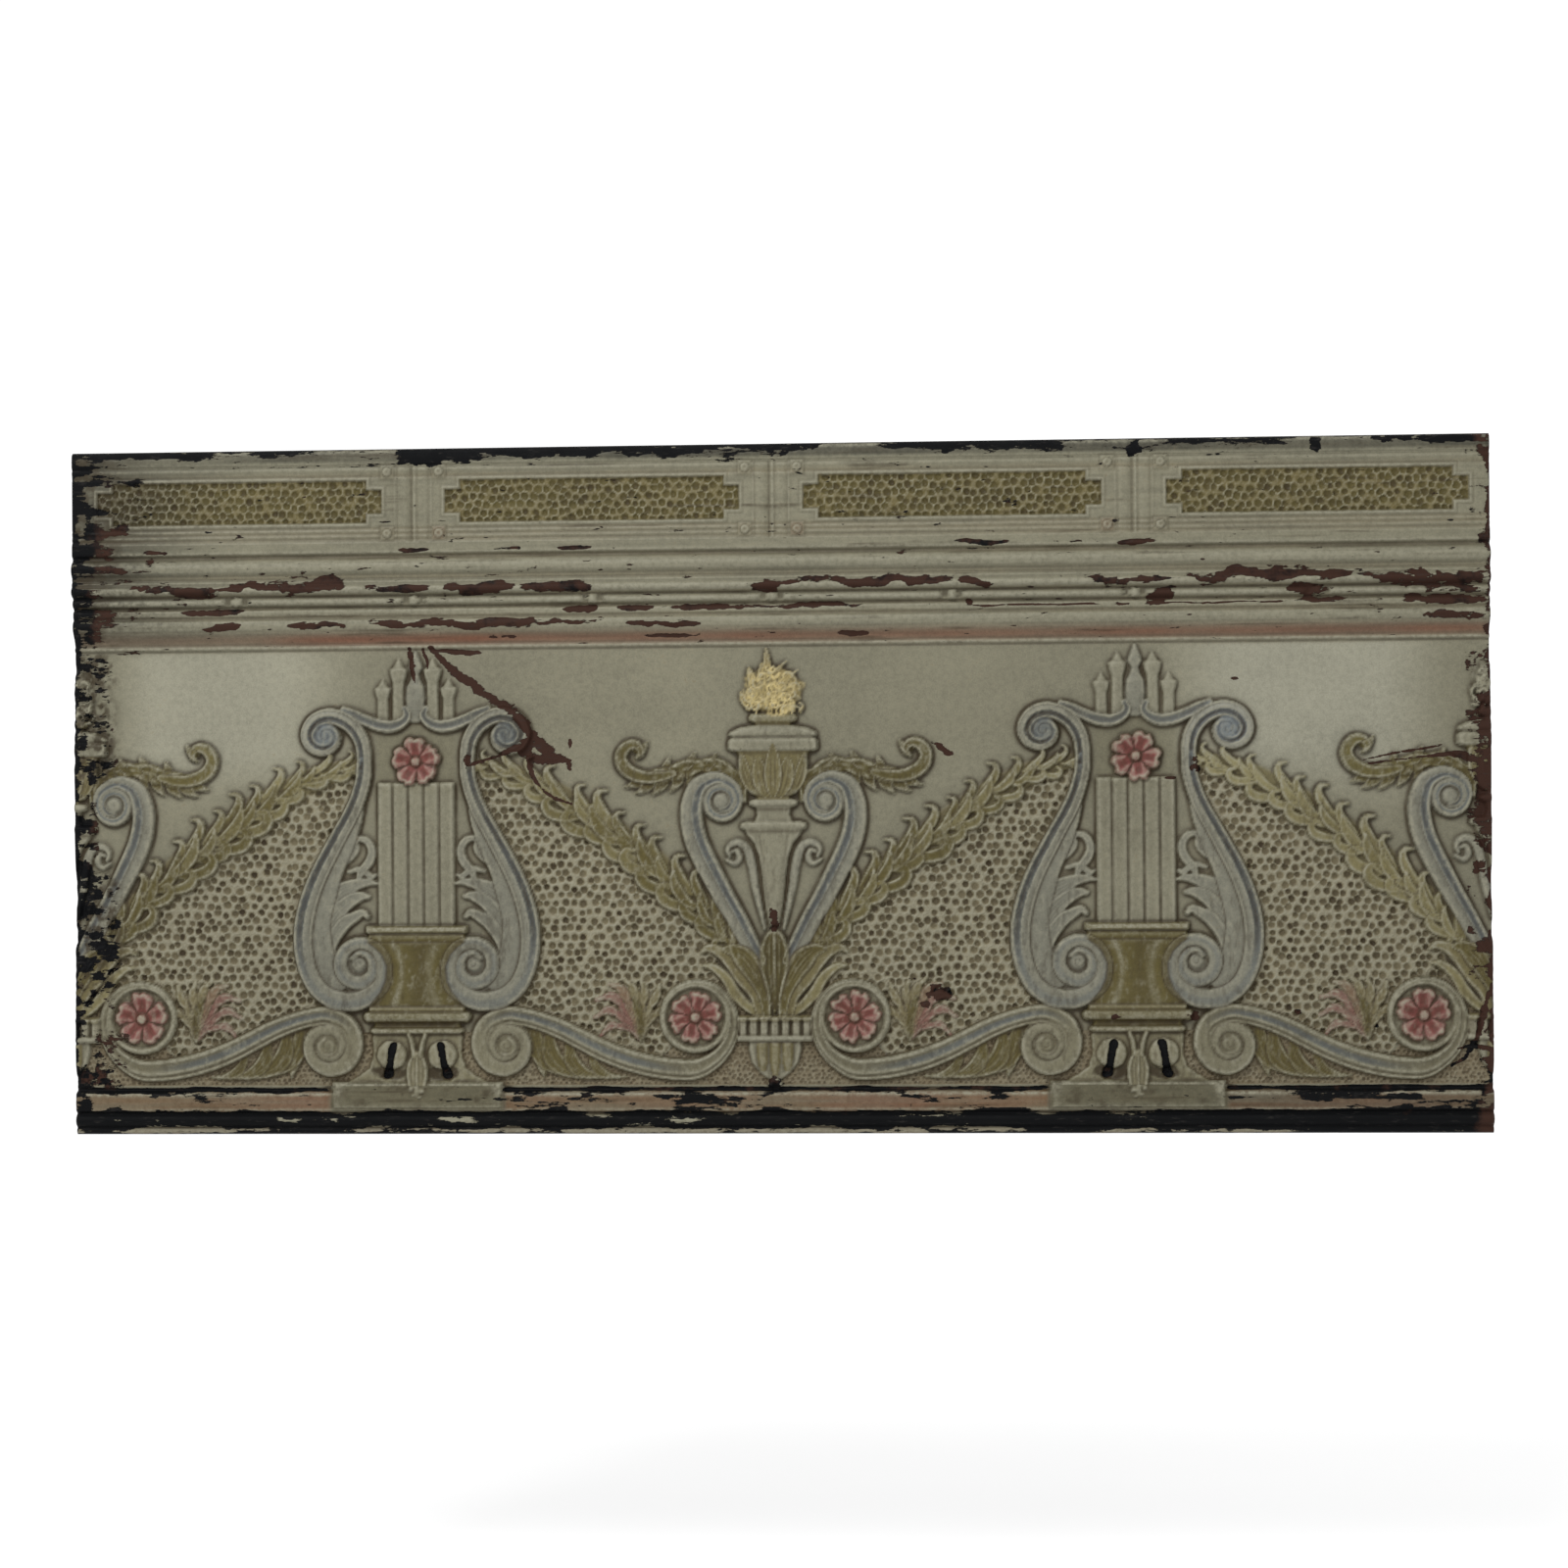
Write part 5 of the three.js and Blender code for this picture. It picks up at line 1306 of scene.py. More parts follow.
def outline_of_front(points):
    """The front's border, once round: bottom, right, top, left."""
    x = points[:, 0] * METRE
    z = points[:, 2] * METRE - TOP_Z + HEIGHT
    slack = 0.01
    sides = (
        (z < slack, x),
        (x > LENGTH / 2 - slack, z),
        (z > HEIGHT - slack, -x),
        (x < slack - LENGTH / 2, -z),
    )
    ring = []
    for chosen, order in sides:
        run = points[chosen][np.argsort(order[chosen], kind="stable")]
        ring.extend(point for k, point in enumerate(run) if k == 0 or np.abs(point - run[k - 1]).sum() > 1e-6)
    ring = [point for k, point in enumerate(ring) if k == 0 or np.abs(point - ring[k - 1]).sum() > 1e-6]
    if np.abs(ring[0] - ring[-1]).sum() > 1e-6:
        ring.append(ring[0])
    return np.array(ring, float) * METRE


def fold_rows(border, sizes):
    """The border swept back over the fold, round the hem and in to the back of the sheet."""
    hem = sizes.hem_width * METRE
    skin = sizes.sheet_thickness * METRE
    front = border[:, 1]
    steps = [(0, front), (0, front * 0.6), (0, front * 0.3), (0, np.full_like(front, -1.3)), (0.35, -0.4),
             (1.3, 0), (hem, 0), (hem + 0.25, -skin / 2), (hem, -skin), (1.6, -skin), (skin, -1.6),
             (skin, front + skin)]
    middle = TOP_Z - HEIGHT / 2
    rows = []
    for inset, depth in steps:
        row = border.copy()
        row[:, 0] *= 1 - inset / (LENGTH / 2)
        row[:, 1] = depth
        row[:, 2] = middle + (row[:, 2] - middle) * (1 - inset / (HEIGHT / 2))
        rows.append(row)
    return np.array(rows)


def back_depths(points, xs, zs):
    """Depth of the back at each point of a grid: just behind the deepest front point near it."""
    columns = np.round((points[:, 0] * METRE - xs[0]) / (xs[1] - xs[0])).astype(int).clip(0, len(xs) - 1)
    rows = np.round((points[:, 2] * METRE - zs[0]) / (zs[1] - zs[0])).astype(int).clip(0, len(zs) - 1)
    depth = np.full((len(zs), len(xs)), -99.0)
    np.maximum.at(depth, (rows, columns), points[:, 1] * METRE)
    padded = np.pad(depth, 1, mode="edge")
    shifts = [padded[1 + a:1 + a + len(zs), 1 + b:1 + b + len(xs)] for a in (-1, 0, 1) for b in (-1, 0, 1)]
    return np.max(shifts, axis=0)


def wash_mouldings(sheet, colours):
    """Red-brown wash in the cove and on the bottom fascia, dirt in streaks, painted shade along the moulding
    steps, and a painted sheen on the field.
    """
    x = sheet.x
    z = sheet.z
    streak = ragged_noise(x * 0.05, z, 4, SEED + 61, 4)
    patch = ragged_noise(x * 0.3, z, 30, SEED + 64, 3)
    cove = line_at(z, 418.8, 5.4) * (1 - 0.5 * step_up(-380, -450, x))
    sheet.paint(WHOLE, cove * np.clip(0.5 + 0.6 * patch, 0, 1), colours.rust)
    fascia = step_up(17, 20, z) * step_up(38, 36, z)
    for lyre in LYRES:
        fascia = fascia * step_up(PLINTH_HALF, PLINTH_HALF + 3, np.abs(x - lyre))
    sheet.paint(WHOLE, fascia * np.clip(0.6 + 1.2 * (streak - 0.3), 0, 1), colours.fascia)
    pinkish = fascia * step_up(-560, -300, x)
    sheet.paint(WHOLE, pinkish * np.clip(1.4 * (patch - 0.4), 0, 0.7), colours.rust)
    sheet.tint *= (1 - 0.3 * fascia * step_up(300, 420, x))[..., None]
    sheet.paint(WHOLE, step_up(6, 3, z) * 0.5, colours.fascia)
    # brown lines along the mouldings: dirt, and painted shade under their steps
    for line in (489, 471.4, 456, 446, 438, 503.2, 508, 512, 557):
        sheet.paint(WHOLE, 0.3 * line_at(z, line, 2.4) * (0.3 + streak), colours.stipple_and_shade)
    mouldings = np.maximum(step_up(FIELD_TOP - 2, FIELD_TOP + 2, z),
                           step_up(FIELD_BOTTOM, FIELD_BOTTOM - 3, z))
    tone = 1 + (streak - 0.5) * 0.5 * mouldings + (patch - 0.5) * 0.14
    # painted sheen: the plain field is painted lighter and bluer at its upper left and upper right, standing
    # in for a reflection
    plain = (1 - mouldings) * np.maximum(
        step_up(-575, -520, x) * step_up(-330, -430, x) * step_up(270, 330, z),
        1.2 * step_up(300, 400, x) * step_up(580, 500, x) * step_up(250, 330, z))
    tone = tone * (1 + 0.42 * plain)
    sooty = step_up(-430, -585, x) * step_up(400, 440, z) + step_up(566, 571, z)
    tone = tone * (1 - 0.75 * np.clip(sooty, 0, 1) * np.clip(0.25 + 1.2 * patch, 0, 1))
    sheet.tint *= tone[..., None] * (1 + 0.1 * plain[..., None] * np.array([0, 0.25, 1.0]))
    sheet.darken(WHOLE, mouldings * 0.8 * step_up(0.6, 0.84, streak))


# From the worked sheet to meshes

def sheet_points(sheet):
    """The grid's points in metres, in the panel's own frame."""
    points = np.empty(sheet.x.shape + (3,))
    points[..., 0] = sheet.x
    points[..., 1] = cad_field() - sheet.h
    points[..., 2] = sheet.z - HEIGHT + TOP_Z
    return points / METRE


def cad_field():
    """Where the field lies: the sheet's back plane is at zero."""
    return -bpy.context.scene.frieze_sizes.fold_depth * METRE


def grid_normals(sheet):
    slope_z, slope_x = np.gradient(sheet.h, sheet.zs, sheet.xs)
    normals = np.dstack([-slope_x, -np.ones_like(slope_x), -slope_z])
    # the front faces -Y, so a height that grows along x leans the normal to -x
    return normals / np.linalg.norm(normals, axis=-1, keepdims=True)


def grid_mesh(name, points, normals, layers, flip=False):
    """A mesh over a grid of points, with its colour layers stored on the points."""
    rows, columns = points.shape[:2]
    index = np.arange(rows * columns).reshape(rows, columns)
    corners = [index[:-1, :-1], index[:-1, 1:], index[1:, 1:], index[1:, :-1]]
    if flip:
        corners = corners[::-1]
    faces = np.stack(corners, -1).reshape(-1, 4)
    mesh = bpy.data.meshes.new(name)
    mesh.vertices.add(rows * columns)
    mesh.vertices.foreach_set("co", points.reshape(-1).astype(np.float32))
    mesh.loops.add(faces.size)
    mesh.loops.foreach_set("vertex_index", faces.reshape(-1).astype(np.int32))
    mesh.polygons.add(len(faces))
    mesh.polygons.foreach_set("loop_start", np.arange(0, faces.size, 4, dtype=np.int32))
    mesh.update(calc_edges=True)
    mesh.polygons.foreach_set("use_smooth", np.ones(len(faces), bool))
    layout = mesh.uv_layers.new(name="OFBake")
    u = np.linspace(0.002, 0.998, columns)[None, :].repeat(rows, 0)
    v = np.linspace(0.002, 0.998, rows)[:, None].repeat(columns, 1)
    uv = np.stack([u, v], -1).reshape(-1, 2)[faces.reshape(-1)]
    layout.data.foreach_set("uv", uv.reshape(-1).astype(np.float32))
    for key, values in layers.items():
        if values.ndim == 3:
            layer = mesh.attributes.new(key, "FLOAT_COLOR", "POINT")
            rgba = np.ones((rows * columns, 4), np.float32)
            rgba[:, :3] = values.reshape(-1, 3)
            layer.data.foreach_set("color", rgba.reshape(-1))
        else:
            layer = mesh.attributes.new(key, "FLOAT", "POINT")
            layer.data.foreach_set("value", values.reshape(-1).astype(np.float32))
    if normals is not None:
        mesh.normals_split_custom_set_from_vertices(normals.reshape(-1, 3).astype(np.float32))
    piece = bpy.data.objects.new(name, mesh)
    bpy.context.collection.objects.link(piece)
    return piece


def hand_over(piece, material):
    """Gives a finished piece its material and its place on the part."""
    piece.data.materials.append(material)
    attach(piece, "root")
    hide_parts(NODE)
    return piece


def spread(start, stop, cell, fineness=1):
    return np.linspace(start, stop, int(round((stop - start) / cell)) * fineness + 1)


def sheet_piece(sheet, name, columns=slice(None), step=1):
    """Makes the mesh of one stretch from every few points of the sheet."""
    def kept(values):
        return values[::step, ::step][:, columns]

    layers = {key: kept(np.clip(getattr(sheet, key), 0, top)) for key, top in LAYER_TOPS.items()}
    normals = kept(grid_normals(sheet))
    piece = grid_mesh(name, kept(sheet_points(sheet)), normals, layers)
    piece["frieze_front"] = True
    return hand_over(piece, painted_steel())


def stretch_of_sheet(x_cell, z_cell, z0, z1, fineness=1):
    colours = bpy.context.scene.frieze_colours
    half = LENGTH / 2
    return Sheet(spread(-half, half, x_cell, fineness), spread(z0, z1, z_cell, fineness), colours.field)


def finish_sheet(sheet, cell):
    """Wear, glaze and washes over the finished relief, and the buckles of the sheet itself."""
    colours = bpy.context.scene.frieze_colours
    draw_wear(sheet)
    weather(sheet, cell)
    wash_mouldings(sheet, colours)
    dent_sheet(sheet)


# Materials

def link(tree, source, target):
    tree.links.new(source, target)


def node(tree, kind, **settings):
    made = tree.nodes.new(kind)
    for key, value in settings.items():
        setattr(made, key, value)
    return made


def layer_value(tree, name, output="Fac"):
    return node(tree, "ShaderNodeAttribute", attribute_name=name).outputs[output]


def noise(tree, coordinates, scale, detail=4.0, roughness=0.6, distortion=0.0):
    made = node(tree, "ShaderNodeTexNoise")
    made.inputs["Scale"].default_value = scale
    made.inputs["Detail"].default_value = detail
    made.inputs["Roughness"].default_value = roughness
    made.inputs["Distortion"].default_value = distortion
    link(tree, coordinates, made.inputs["Vector"])
    return made.outputs["Fac"]


def reckon(tree, operation, first, second=None, clamp=False):
    made = node(tree, "ShaderNodeMath", operation=operation, use_clamp=clamp)
    for socket, value in zip(made.inputs, (first, second)):
        if value is None:
            continue
        if isinstance(value, (int, float)):
            socket.default_value = value
        else:
            link(tree, value, socket)
    return made.outputs[0]


def plus(tree, first, second):
    return reckon(tree, "ADD", first, second)


def times(tree, first, second, clamp=False):
    return reckon(tree, "MULTIPLY", first, second, clamp)


def ramp(tree, value, low, high, start=0.0, end=1.0):
    """A smooth change from one value to another while the input goes from low to high."""
    made = node(tree, "ShaderNodeMapRange", interpolation_type="SMOOTHSTEP")
    made.inputs["From Min"].default_value = low
    made.inputs["From Max"].default_value = high
    made.inputs["To Min"].default_value = start
    made.inputs["To Max"].default_value = end
    link(tree, value, made.inputs["Value"])
    return made.outputs["Result"]


def blend_colour(tree, share, first, second, mode="MIX"):
    made = node(tree, "ShaderNodeMix", data_type="RGBA", blend_type=mode)
    sockets = [socket for socket in made.inputs if socket.enabled]
    if isinstance(share, (int, float)):
        sockets[0].default_value = share
    else:
        link(tree, share, sockets[0])
    for socket, value in zip(sockets[1:], (first, second)):
        if hasattr(value, "is_output"):
            link(tree, value, socket)
        else:
            socket.default_value = (*value, 1.0)
    return next(socket for socket in made.outputs if socket.enabled)


def spread_grey(tree, value):
    """One value on all three channels of a colour."""
    made = node(tree, "ShaderNodeCombineColor")
    for socket in made.inputs:
        link(tree, value, socket)
    return made.outputs["Color"]


def add_bump(tree, shader, height, strength, distance):
    """Fine relief of the paint itself; the distance is in metres."""
    bump = node(tree, "ShaderNodeBump")
    bump.inputs["Strength"].default_value = strength
    bump.inputs["Distance"].default_value = distance
    link(tree, height, bump.inputs["Height"])
    link(tree, bump.outputs["Normal"], shader.inputs["Normal"])


def new_material(name):
    """A material with its nodes and shader, or without them where it is made already."""
    material = bpy.data.materials.get(name)
    if material:
        return material, None, None
    material = bpy.data.materials.new(name)
    material.use_nodes = True
    shader = material.node_tree.nodes["Principled BSDF"]
    return material, material.node_tree, shader


def painted_steel():
    """Old oil paint over steel: brown glaze and painted shade in the hollows, rubbed ridges and painted
    highlights, chips down to dark metal.
    """
    material, tree, shader = new_material("aged_paint")
    if tree is None:
        return material
    colours = bpy.context.scene.frieze_colours
    place = node(tree, "ShaderNodeTexCoord").outputs["Object"]
    stretched = node(tree, "ShaderNodeMapping")
    stretched.inputs["Scale"].default_value = (0.24, 1.0, 1.0)
    link(tree, place, stretched.inputs["Vector"])
    broad = noise(tree, place, 5.0, 5.0, 0.62)
    medium = noise(tree, place, 38.0, 5.0, 0.65)
    fine = noise(tree, place, 240.0, 4.0, 0.7)
    grain = noise(tree, place, 800.0, 2.0, 0.6)
    flaky = noise(tree, stretched.outputs["Vector"], 300.0, 5.0, 0.72)
    tone = plus(tree, ramp(tree, broad, 0.25, 0.75, 0.9, 1.1), ramp(tree, fine, 0.2, 0.8, -0.13, 0.13))
    tone = plus(tree, tone, ramp(tree, grain, 0.25, 0.75, -0.09, 0.09))
    paint = blend_colour(tree, 1.0, layer_value(tree, "tint", "Color"), spread_grey(tree, tone), "MULTIPLY")
    glaze_and_shade_share = times(tree, layer_value(tree, "glaze_and_shade"), ramp(tree, medium, 0.2, 0.6, 0.6, 1.0))
    paint = blend_colour(tree, times(tree, glaze_and_shade_share, 0.9, True), paint, colours.glaze_and_shade)
    flecks = times(tree, ramp(tree, fine, 0.6, 0.7), ramp(tree, broad, 0.42, 0.7, 0.05, 0.5))
    paint = blend_colour(tree, flecks, paint, colours.stipple_and_shade)
    rub_and_highlight_share = times(tree, layer_value(tree, "rub_and_highlight"), ramp(tree, fine, 0.3, 0.66, 0.25, 0.95))
    paint = blend_colour(tree, rub_and_highlight_share, paint, colours.rubbed_and_highlight)
    pit_edge = plus(tree, layer_value(tree, "pit"), ramp(tree, fine, 0.2, 0.8, -0.26, 0.26))
    pit_share = times(tree, ramp(tree, pit_edge, 0.55, 0.95, 1.0, 0.0), layer_value(tree, "stain"))
    paint = blend_colour(tree, times(tree, pit_share, 0.96, True), paint, colours.pit)
    ragged = plus(tree, ramp(tree, fine, 0.2, 0.8, -0.1, 0.1), ramp(tree, flaky, 0.2, 0.8, -0.3, 0.3))
    bare = plus(tree, layer_value(tree, "bare"), ragged)
    edge = ramp(tree, bare, 0.4, 0.5)
    chip = ramp(tree, bare, 0.49, 0.52)
    paint = blend_colour(tree, times(tree, edge, 0.45), paint, colours.glaze_and_shade)
    primed = plus(tree, medium, times(tree, layer_value(tree, "stain"), 0.6))
    metal = blend_colour(tree, ramp(tree, primed, 0.7, 0.9), colours.dark_metal, colours.maroon)
    metal = blend_colour(tree, ramp(tree, flaky, 0.56, 0.7, 0.0, 0.5), metal, colours.worn_metal)
    # painted shadow of the paint's edge: the bare metal darkens along the border of each chip
    metal = blend_colour(tree, ramp(tree, bare, 0.52, 0.6, 0.75, 0.0), metal, colours.dark_metal)
    link(tree, blend_colour(tree, chip, paint, metal), shader.inputs["Base Color"])
    gloss = plus(tree, ramp(tree, medium, 0.2, 0.8, 0.42, 0.6), ramp(tree, grain, 0.0, 1.0, -0.06, 0.06))
    link(tree, plus(tree, gloss, times(tree, chip, 0.12)), shader.inputs["Roughness"])
    link(tree, ramp(tree, chip, 0.0, 1.0, 0.12, 0.05), shader.inputs["Specular IOR Level"])
    bump_height = plus(tree, times(tree, fine, 0.5), times(tree, grain, 0.3))
    bump_height = reckon(tree, "SUBTRACT", bump_height, times(tree, chip, 0.9))
    bump_height = reckon(tree, "SUBTRACT", bump_height, ramp(tree, pit_edge, 0.5, 1.1, 0.9, 0.0))
    add_bump(tree, shader, bump_height, 0.6, 0.0005)
    return material


def back_steel():
    """The unpainted back: dark mill steel with rust and drips of old paint."""
    material, tree, shader = new_material("bare_back")
    if tree is None:
        return material
    colours = bpy.context.scene.frieze_colours
    place = node(tree, "ShaderNodeTexCoord").outputs["Object"]
    broad = noise(tree, place, 9.0, 6.0, 0.66)
    medium = noise(tree, place, 60.0, 5.0, 0.66)
    fine = noise(tree, place, 420.0, 3.0, 0.6)
    steel = blend_colour(tree, ramp(tree, fine, 0.3, 0.7), colours.dark_metal, colours.worn_metal)
    rusty = times(tree, ramp(tree, broad, 0.42, 0.62), ramp(tree, medium, 0.34, 0.62))
    steel = blend_colour(tree, rusty, steel, colours.rust)
    splash = times(tree, ramp(tree, medium, 0.64, 0.68), ramp(tree, broad, 0.55, 0.62))
    steel = blend_colour(tree, splash, steel, colours.field)
    link(tree, steel, shader.inputs["Base Color"])
    link(tree, ramp(tree, medium, 0.2, 0.8, 0.42, 0.74), shader.inputs["Roughness"])
    link(tree, ramp(tree, broad, 0.4, 0.62, 0.55, 0.1), shader.inputs["Metallic"])
    add_bump(tree, shader, fine, 0.5, 0.0004)
    return material


def stage_white():
    material, tree, shader = new_material("stage_white")
    if tree is None:
        return material
    place = node(tree, "ShaderNodeTexCoord").outputs["Object"]
    mottled = noise(tree, place, 3.0, 2.0, 0.5)
    pale = blend_colour(tree, mottled, (0.92, 0.92, 0.92), (0.94, 0.94, 0.94))
    link(tree, pale, shader.inputs["Base Color"])
    shader.inputs["Roughness"].default_value = 0.9
    return material


# What a user may change

def length_value(name, description, default):
    return bpy.props.FloatProperty(name=name, description=description, default=default, unit="LENGTH",
                                   precision=4)


def colour_value(name, description, default):
    return bpy.props.FloatVectorProperty(name=name, description=description, default=default, size=3,
                                         subtype="COLOR", min=0.0, max=1.0)


class FriezeSizes(bpy.types.PropertyGroup):
    """Sizes of the pressed sheet."""
    fold_depth: length_value("Fold depth", "How far the edges are folded back from the field", 0.014)
    hem_width: length_value("Hem width", "Width of the hem turned in along the back", 0.012)
    sheet_thickness: length_value("Sheet thickness", "Thickness of the sheet with its paint", 0.0006)
    fine_cell: length_value("Fine cell", "Mesh cell where the relief is fine", 0.0012)
    moulding_cell: length_value("Moulding cell", "Mesh cell across the plain mouldings", 0.0009)
    back_cell: length_value("Back cell", "Mesh cell on the back of the sheet", 0.005)


class FriezeColours(bpy.types.PropertyGroup):
    """Paints and metals."""
    field: colour_value("Field", "Sage grey of the ground and the mouldings", (0.119, 0.112, 0.078))
    hammered: colour_value("Hammered ground", "Paint of the hammered ground", (0.12, 0.1, 0.056))
    # sandy brown of the stippled ground, also painted as shade among the ornament and along the mouldings
    stipple_and_shade: colour_value("Stipple", "Sandy brown of the stippled ground", (0.092, 0.068, 0.036))
    pit: colour_value("Pit", "Dark paint in the hammered pits", (0.021, 0.014, 0.006))
    olive: colour_value("Olive", "Leaves, urn and cornice panels", (0.059, 0.048, 0.015))
    olive_pale: colour_value("Pale olive", "Lighter leaves and collars", (0.092, 0.078, 0.035))
    laurel: colour_value("Laurel", "Garland leaves", (0.113, 0.098, 0.046))
    blue: colour_value("Blue", "Channels of the lyres and torches", (0.059, 0.0655, 0.064))
    blue_pale: colour_value("Pale blue", "Rims of the lyres and torches", (0.106, 0.103, 0.079))
    scroll: colour_value("Scroll", "Grey green of the long scrolls", (0.092, 0.084, 0.053))
    pink: colour_value("Pink", "Rosettes", (0.108, 0.032, 0.027))
    # pale pink of the petal rims, also painted as highlights on the rosettes
    pink_rim_and_highlight: colour_value("Pale pink", "Petal rims", (0.2, 0.1, 0.088))
    spray: colour_value("Spray", "Tips of the leaf sprays", (0.115, 0.058, 0.045))
    gold: colour_value("Gold", "The middle torch's flame", (0.245, 0.195, 0.083))
    # brown of the glaze in the hollows, also used as painted shade
    glaze_and_shade: colour_value("Glaze", "Brown glaze in the hollows", (0.022, 0.015, 0.007))
    # pale of the rubbed high lines, also used as painted highlights
    rubbed_and_highlight: colour_value("Rubbed", "Pale high lines", (0.172, 0.164, 0.121))
    rust: colour_value("Rust", "Red-brown wash", (0.098, 0.043, 0.025))
    fascia: colour_value("Fascia", "Worn brown of the base fascia", (0.076, 0.049, 0.026))
    dark_metal: colour_value("Dark metal", "Bare metal, nearly black", (0.0022, 0.0024, 0.0027))
    maroon: colour_value("Maroon", "Old primer on the bare metal", (0.026, 0.0125, 0.0085))
    worn_metal: colour_value("Worn metal", "Lighter worn metal", (0.022, 0.02, 0.018))


class FriezeStage(bpy.types.PropertyGroup):
    """Camera and light."""
    azimuth: bpy.props.FloatProperty(name="Azimuth", description="Camera angle round the panel, in degrees",
                                     default=3.312)
    elevation: bpy.props.FloatProperty(name="Elevation", default=-0.539,
                                       description="Camera angle above the panel, in degrees")
    roll: bpy.props.FloatProperty(name="Roll", description="Camera roll, in degrees", default=-0.417)
    distance: length_value("Distance", "Camera distance from the panel's middle", 2.471)
    lens: bpy.props.FloatProperty(name="Lens", description="Focal length for a 36 mm sensor", default=67.5)
    key_power: bpy.props.FloatProperty(name="Key power", description="Power of the soft key light in watts",
                                       default=62.0)
    sky: bpy.props.FloatProperty(name="Sky", description="Strength of the even white surround", default=1.1)


# The photograph's side, and how far its middle lies right of and above the camera's axis, in its pixels
PHOTO_SIDE = 1600
PHOTO_SHIFT = (10.97, 4.57)


# Operators

class PieceOperator(bpy.types.Operator):
    """Common options of the operators that build the panel."""
    bl_options = {"REGISTER", "UNDO"}


class FRIEZE_OT_field(PieceOperator):
    """Builds the ornament field: lyres, torches, garlands, scrolls and grounds"""
    bl_idname = "frieze.field"
    bl_label = "Ornament field"

    def execute(self, context):
        cell = context.scene.frieze_sizes.fine_cell * METRE
        step = 2
        sheet = stretch_of_sheet(cell, cell, FIELD_BOTTOM, FIELD_TOP, step)
        draw_field(sheet, context.scene.frieze_colours)
        sheet.h = box_blur(sheet.h, cell / step, cell / step)
        beat_grounds(sheet)
        age_ornament(sheet)
        finish_sheet(sheet, cell / step)
        count = (sheet.x.shape[1] + step - 1) // step
        cuts = [round(count * k / 4) for k in range(5)]
        for k in range(4):
            last = min(cuts[k + 1] + 1, count)
            sheet_piece(sheet, "ornament_field_%d" % (k + 1), slice(cuts[k], last), step)
        return {"FINISHED"}


class FRIEZE_OT_cornice(PieceOperator):
    """Builds the cornice: the crown, the hammered band and the mouldings under it"""
    bl_idname = "frieze.cornice"
    bl_label = "Cornice"

    def execute(self, context):
        sizes = context.scene.frieze_sizes
        fine = sizes.fine_cell * METRE
        across = sizes.moulding_cell * METRE
        for name, x_cell, z_cell, z0, z1 in (
                ("cornice_moulding", 2.4 * fine, across, FIELD_TOP, BAND_LOW),
                ("hammered_band", fine, fine, BAND_LOW, BAND_HIGH),
                ("crown_fillet", 2 * fine, across, BAND_HIGH, HEIGHT)):
            sheet = stretch_of_sheet(x_cell, z_cell, z0, z1)
            draw_cornice(sheet, context.scene.frieze_colours)
            finish_sheet(sheet, z_cell)
            sheet_piece(sheet, name)
        return {"FINISHED"}


class FRIEZE_OT_base(PieceOperator):
    """Builds the base mouldings, with the flat plinths under the lyres"""
    bl_idname = "frieze.base"
    bl_label = "Base moulding"

    def execute(self, context):
        sizes = context.scene.frieze_sizes
        across = sizes.moulding_cell * METRE
        sheet = stretch_of_sheet(2 * sizes.fine_cell * METRE, across, 0.0, FIELD_BOTTOM)
        draw_plinths(sheet, context.scene.frieze_colours)
        finish_sheet(sheet, across)
        sheet_piece(sheet, "base_moulding")
        return {"FINISHED"}


class FRIEZE_OT_folds(PieceOperator):
    """Builds the folded edges and the hems turned in along the back"""
    bl_idname = "frieze.folds"
    bl_label = "Folds and hems"

    def execute(self, context):
        colours = context.scene.frieze_colours
        points = fold_rows(outline_of_front(front_points()), context.scene.frieze_sizes)
        share = np.linspace(0, 1, len(points))[:, None] + np.zeros(points.shape[:2])
        worn = np.interp(share, [0, 0.1, 0.4, 0.5, 0.6], [0.6, 0.42, 0.36, 0.6, 0.78])
        layers = {
            "tint": np.zeros(points.shape) + np.array(colours.field),
            "glaze_and_shade": np.full(share.shape, 0.3),
            "rub_and_highlight": np.zeros(share.shape),
            "bare": worn,
            "pit": np.full(share.shape, UNPITTED),
            "stain": np.zeros(share.shape),
        }
        hand_over(grid_mesh("folded_edges", points / METRE, None, layers, True), painted_steel())
        return {"FINISHED"}


class FRIEZE_OT_back(PieceOperator):
    """Builds the unpainted back of the pressed sheet"""
    bl_idname = "frieze.back"
    bl_label = "Back of the sheet"

    def execute(self, context):
        sizes = context.scene.frieze_sizes
        skin = sizes.sheet_thickness * METRE
        cell = sizes.back_cell * METRE
        xs = spread(skin - LENGTH / 2, LENGTH / 2 - skin, cell)
        zs = spread(TOP_Z - HEIGHT + skin, TOP_Z - skin, cell)
        points = np.empty((len(zs), len(xs), 3))
        points[..., 0], points[..., 2] = np.meshgrid(xs, zs)
        points[..., 1] = back_depths(front_points(), xs, zs) + skin
        hand_over(grid_mesh("back_of_sheet", points / METRE, None, {}, True), back_steel())
        return {"FINISHED"}


class FRIEZE_OT_stage(bpy.types.Operator):
    """Makes the pale floor, the soft light and the camera"""
    bl_idname = "frieze.stage"
    bl_label = "Stage"

    def execute(self, context):
        settings = context.scene.frieze_stage
        make_floor()
        make_lights(settings)
        make_camera(settings)
        return {"FINISHED"}


def make_floor():
    """A wide pale floor, well under the panel."""
    drop = 0.45
    size = 14.0
    low = cad_low.z - drop
    mesh = bpy.data.meshes.new("floor")
    corners = [(-size, -size, low), (size, -size, low), (size, size, low), (-size, size, low)]
    mesh.from_pydata(corners, [], [(0, 1, 2, 3)])
    floor = bpy.data.objects.new("floor", mesh)
    bpy.context.collection.objects.link(floor)
    mesh.materials.append(stage_white())


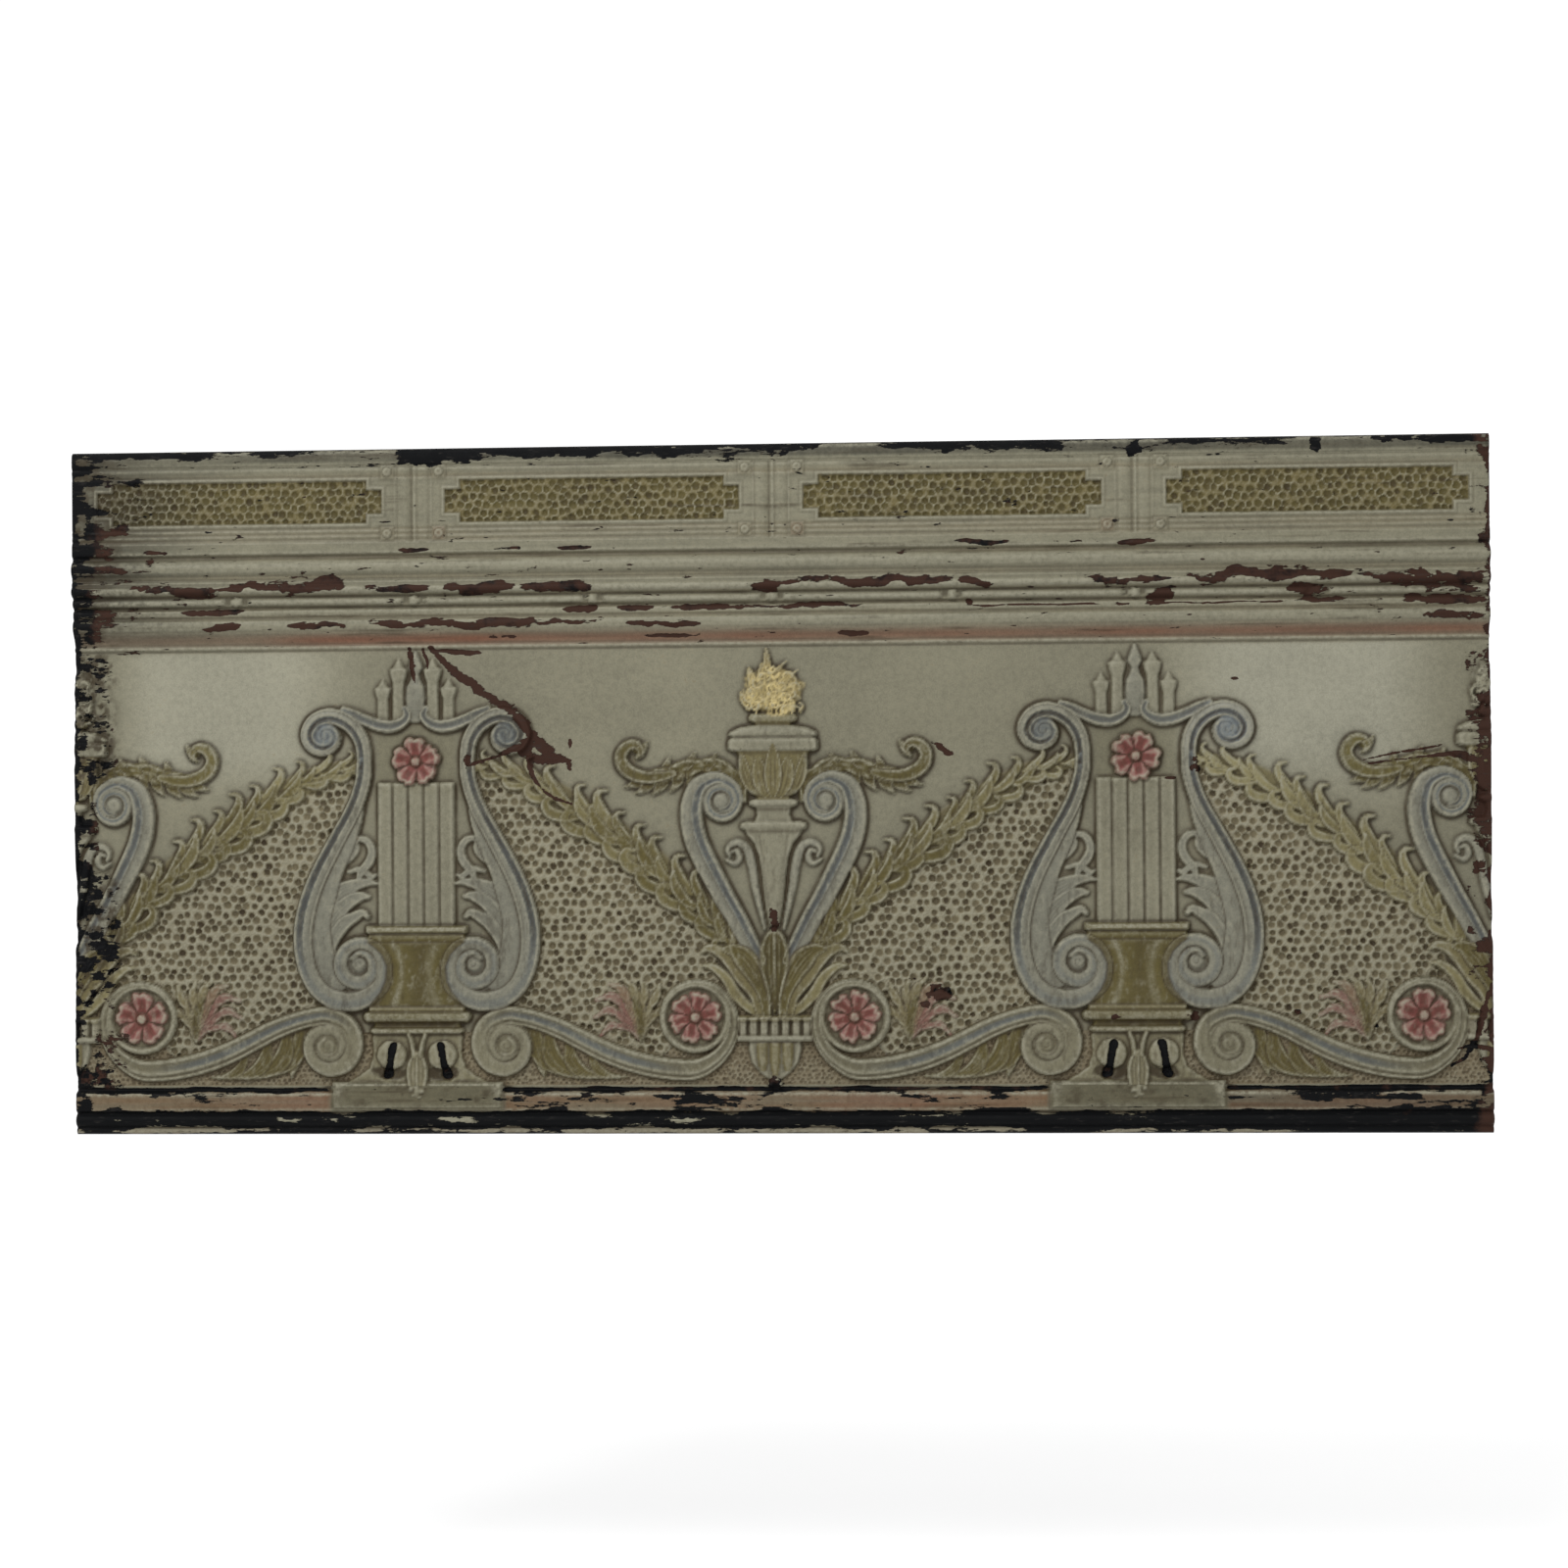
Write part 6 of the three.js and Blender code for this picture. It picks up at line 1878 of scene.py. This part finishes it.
def make_lights(settings):
    """An even white surround and one soft key light from the upper left."""
    world = bpy.data.worlds.new("even_white")
    world.use_nodes = True
    world.node_tree.nodes["Background"].inputs["Color"].default_value = (1.0, 1.0, 1.0, 1.0)
    world.node_tree.nodes["Background"].inputs["Strength"].default_value = settings.sky
    bpy.context.scene.world = world
    key = bpy.data.lights.new("key", "AREA")
    key.energy = settings.key_power
    key.shape = "RECTANGLE"
    key.size = 1.6
    key.size_y = 0.8
    lamp = bpy.data.objects.new("key", key)
    lamp.location = (-0.7, -1.9, 1.5)
    aim = Vector((0.05, 0.0, -0.28)) - lamp.location
    lamp.rotation_euler = aim.to_track_quat("-Z", "Y").to_euler()
    bpy.context.collection.objects.link(lamp)


def make_camera(settings):
    """The camera, turned about the middle of the relief and shifted as the photograph is framed."""
    azimuth = np.radians(settings.azimuth)
    elevation = np.radians(settings.elevation)
    back = Vector((np.sin(azimuth) * np.cos(elevation), -np.cos(azimuth) * np.cos(elevation),
                   np.sin(elevation)))
    right = Vector((0, 0, 1)).cross(back).normalized()
    up = back.cross(right)
    roll = np.radians(settings.roll)
    right, up = (right * np.cos(roll) + up * np.sin(roll), up * np.cos(roll) - right * np.sin(roll))
    relief_y = -0.0165
    target = Vector((0.0, relief_y, (cad_low.z + cad_high.z) / 2))
    camera = bpy.data.cameras.new("camera")
    camera.lens = settings.lens
    camera.sensor_width = 36.0
    camera.shift_x = PHOTO_SHIFT[0] / PHOTO_SIDE
    camera.shift_y = PHOTO_SHIFT[1] / PHOTO_SIDE
    holder = bpy.data.objects.new("camera", camera)
    holder.matrix_world = Matrix.Translation(target + back * settings.distance) @ Matrix(
        (right, up, back)).transposed().to_4x4()
    bpy.context.collection.objects.link(holder)
    bpy.context.scene.camera = holder


class FRIEZE_PT_panel(bpy.types.Panel):
    """Lists the operators and the values they use"""
    bl_idname = "FRIEZE_PT_panel"
    bl_label = "Frieze panel"
    bl_space_type = "VIEW_3D"
    bl_region_type = "UI"
    bl_category = "Frieze"

    def draw(self, context):
        for operator in OPERATORS:
            self.layout.operator(operator.bl_idname)
        scene = context.scene
        for settings in (scene.frieze_sizes, scene.frieze_colours, scene.frieze_stage):
            column = self.layout.column(align=True)
            for key in settings.bl_rna.properties.keys():
                if key not in ("rna_type", "name"):
                    column.prop(settings, key)


OPERATORS = (FRIEZE_OT_field, FRIEZE_OT_cornice, FRIEZE_OT_base, FRIEZE_OT_folds, FRIEZE_OT_back,
             FRIEZE_OT_stage)
CLASSES = (FriezeSizes, FriezeColours, FriezeStage, *OPERATORS, FRIEZE_PT_panel)


def register():
    for entry in CLASSES:
        bpy.utils.register_class(entry)
    bpy.types.Scene.frieze_sizes = bpy.props.PointerProperty(type=FriezeSizes)
    bpy.types.Scene.frieze_colours = bpy.props.PointerProperty(type=FriezeColours)
    bpy.types.Scene.frieze_stage = bpy.props.PointerProperty(type=FriezeStage)


def unregister():
    del bpy.types.Scene.frieze_sizes
    del bpy.types.Scene.frieze_colours
    del bpy.types.Scene.frieze_stage
    for entry in reversed(CLASSES):
        bpy.utils.unregister_class(entry)


def main():
    register()
    bpy.context.scene.view_settings.view_transform = "Standard"
    bpy.ops.frieze.field()
    bpy.ops.frieze.cornice()
    bpy.ops.frieze.base()
    bpy.ops.frieze.folds()
    bpy.ops.frieze.back()
    bpy.ops.frieze.stage()


if __name__ == "__main__":
    main()
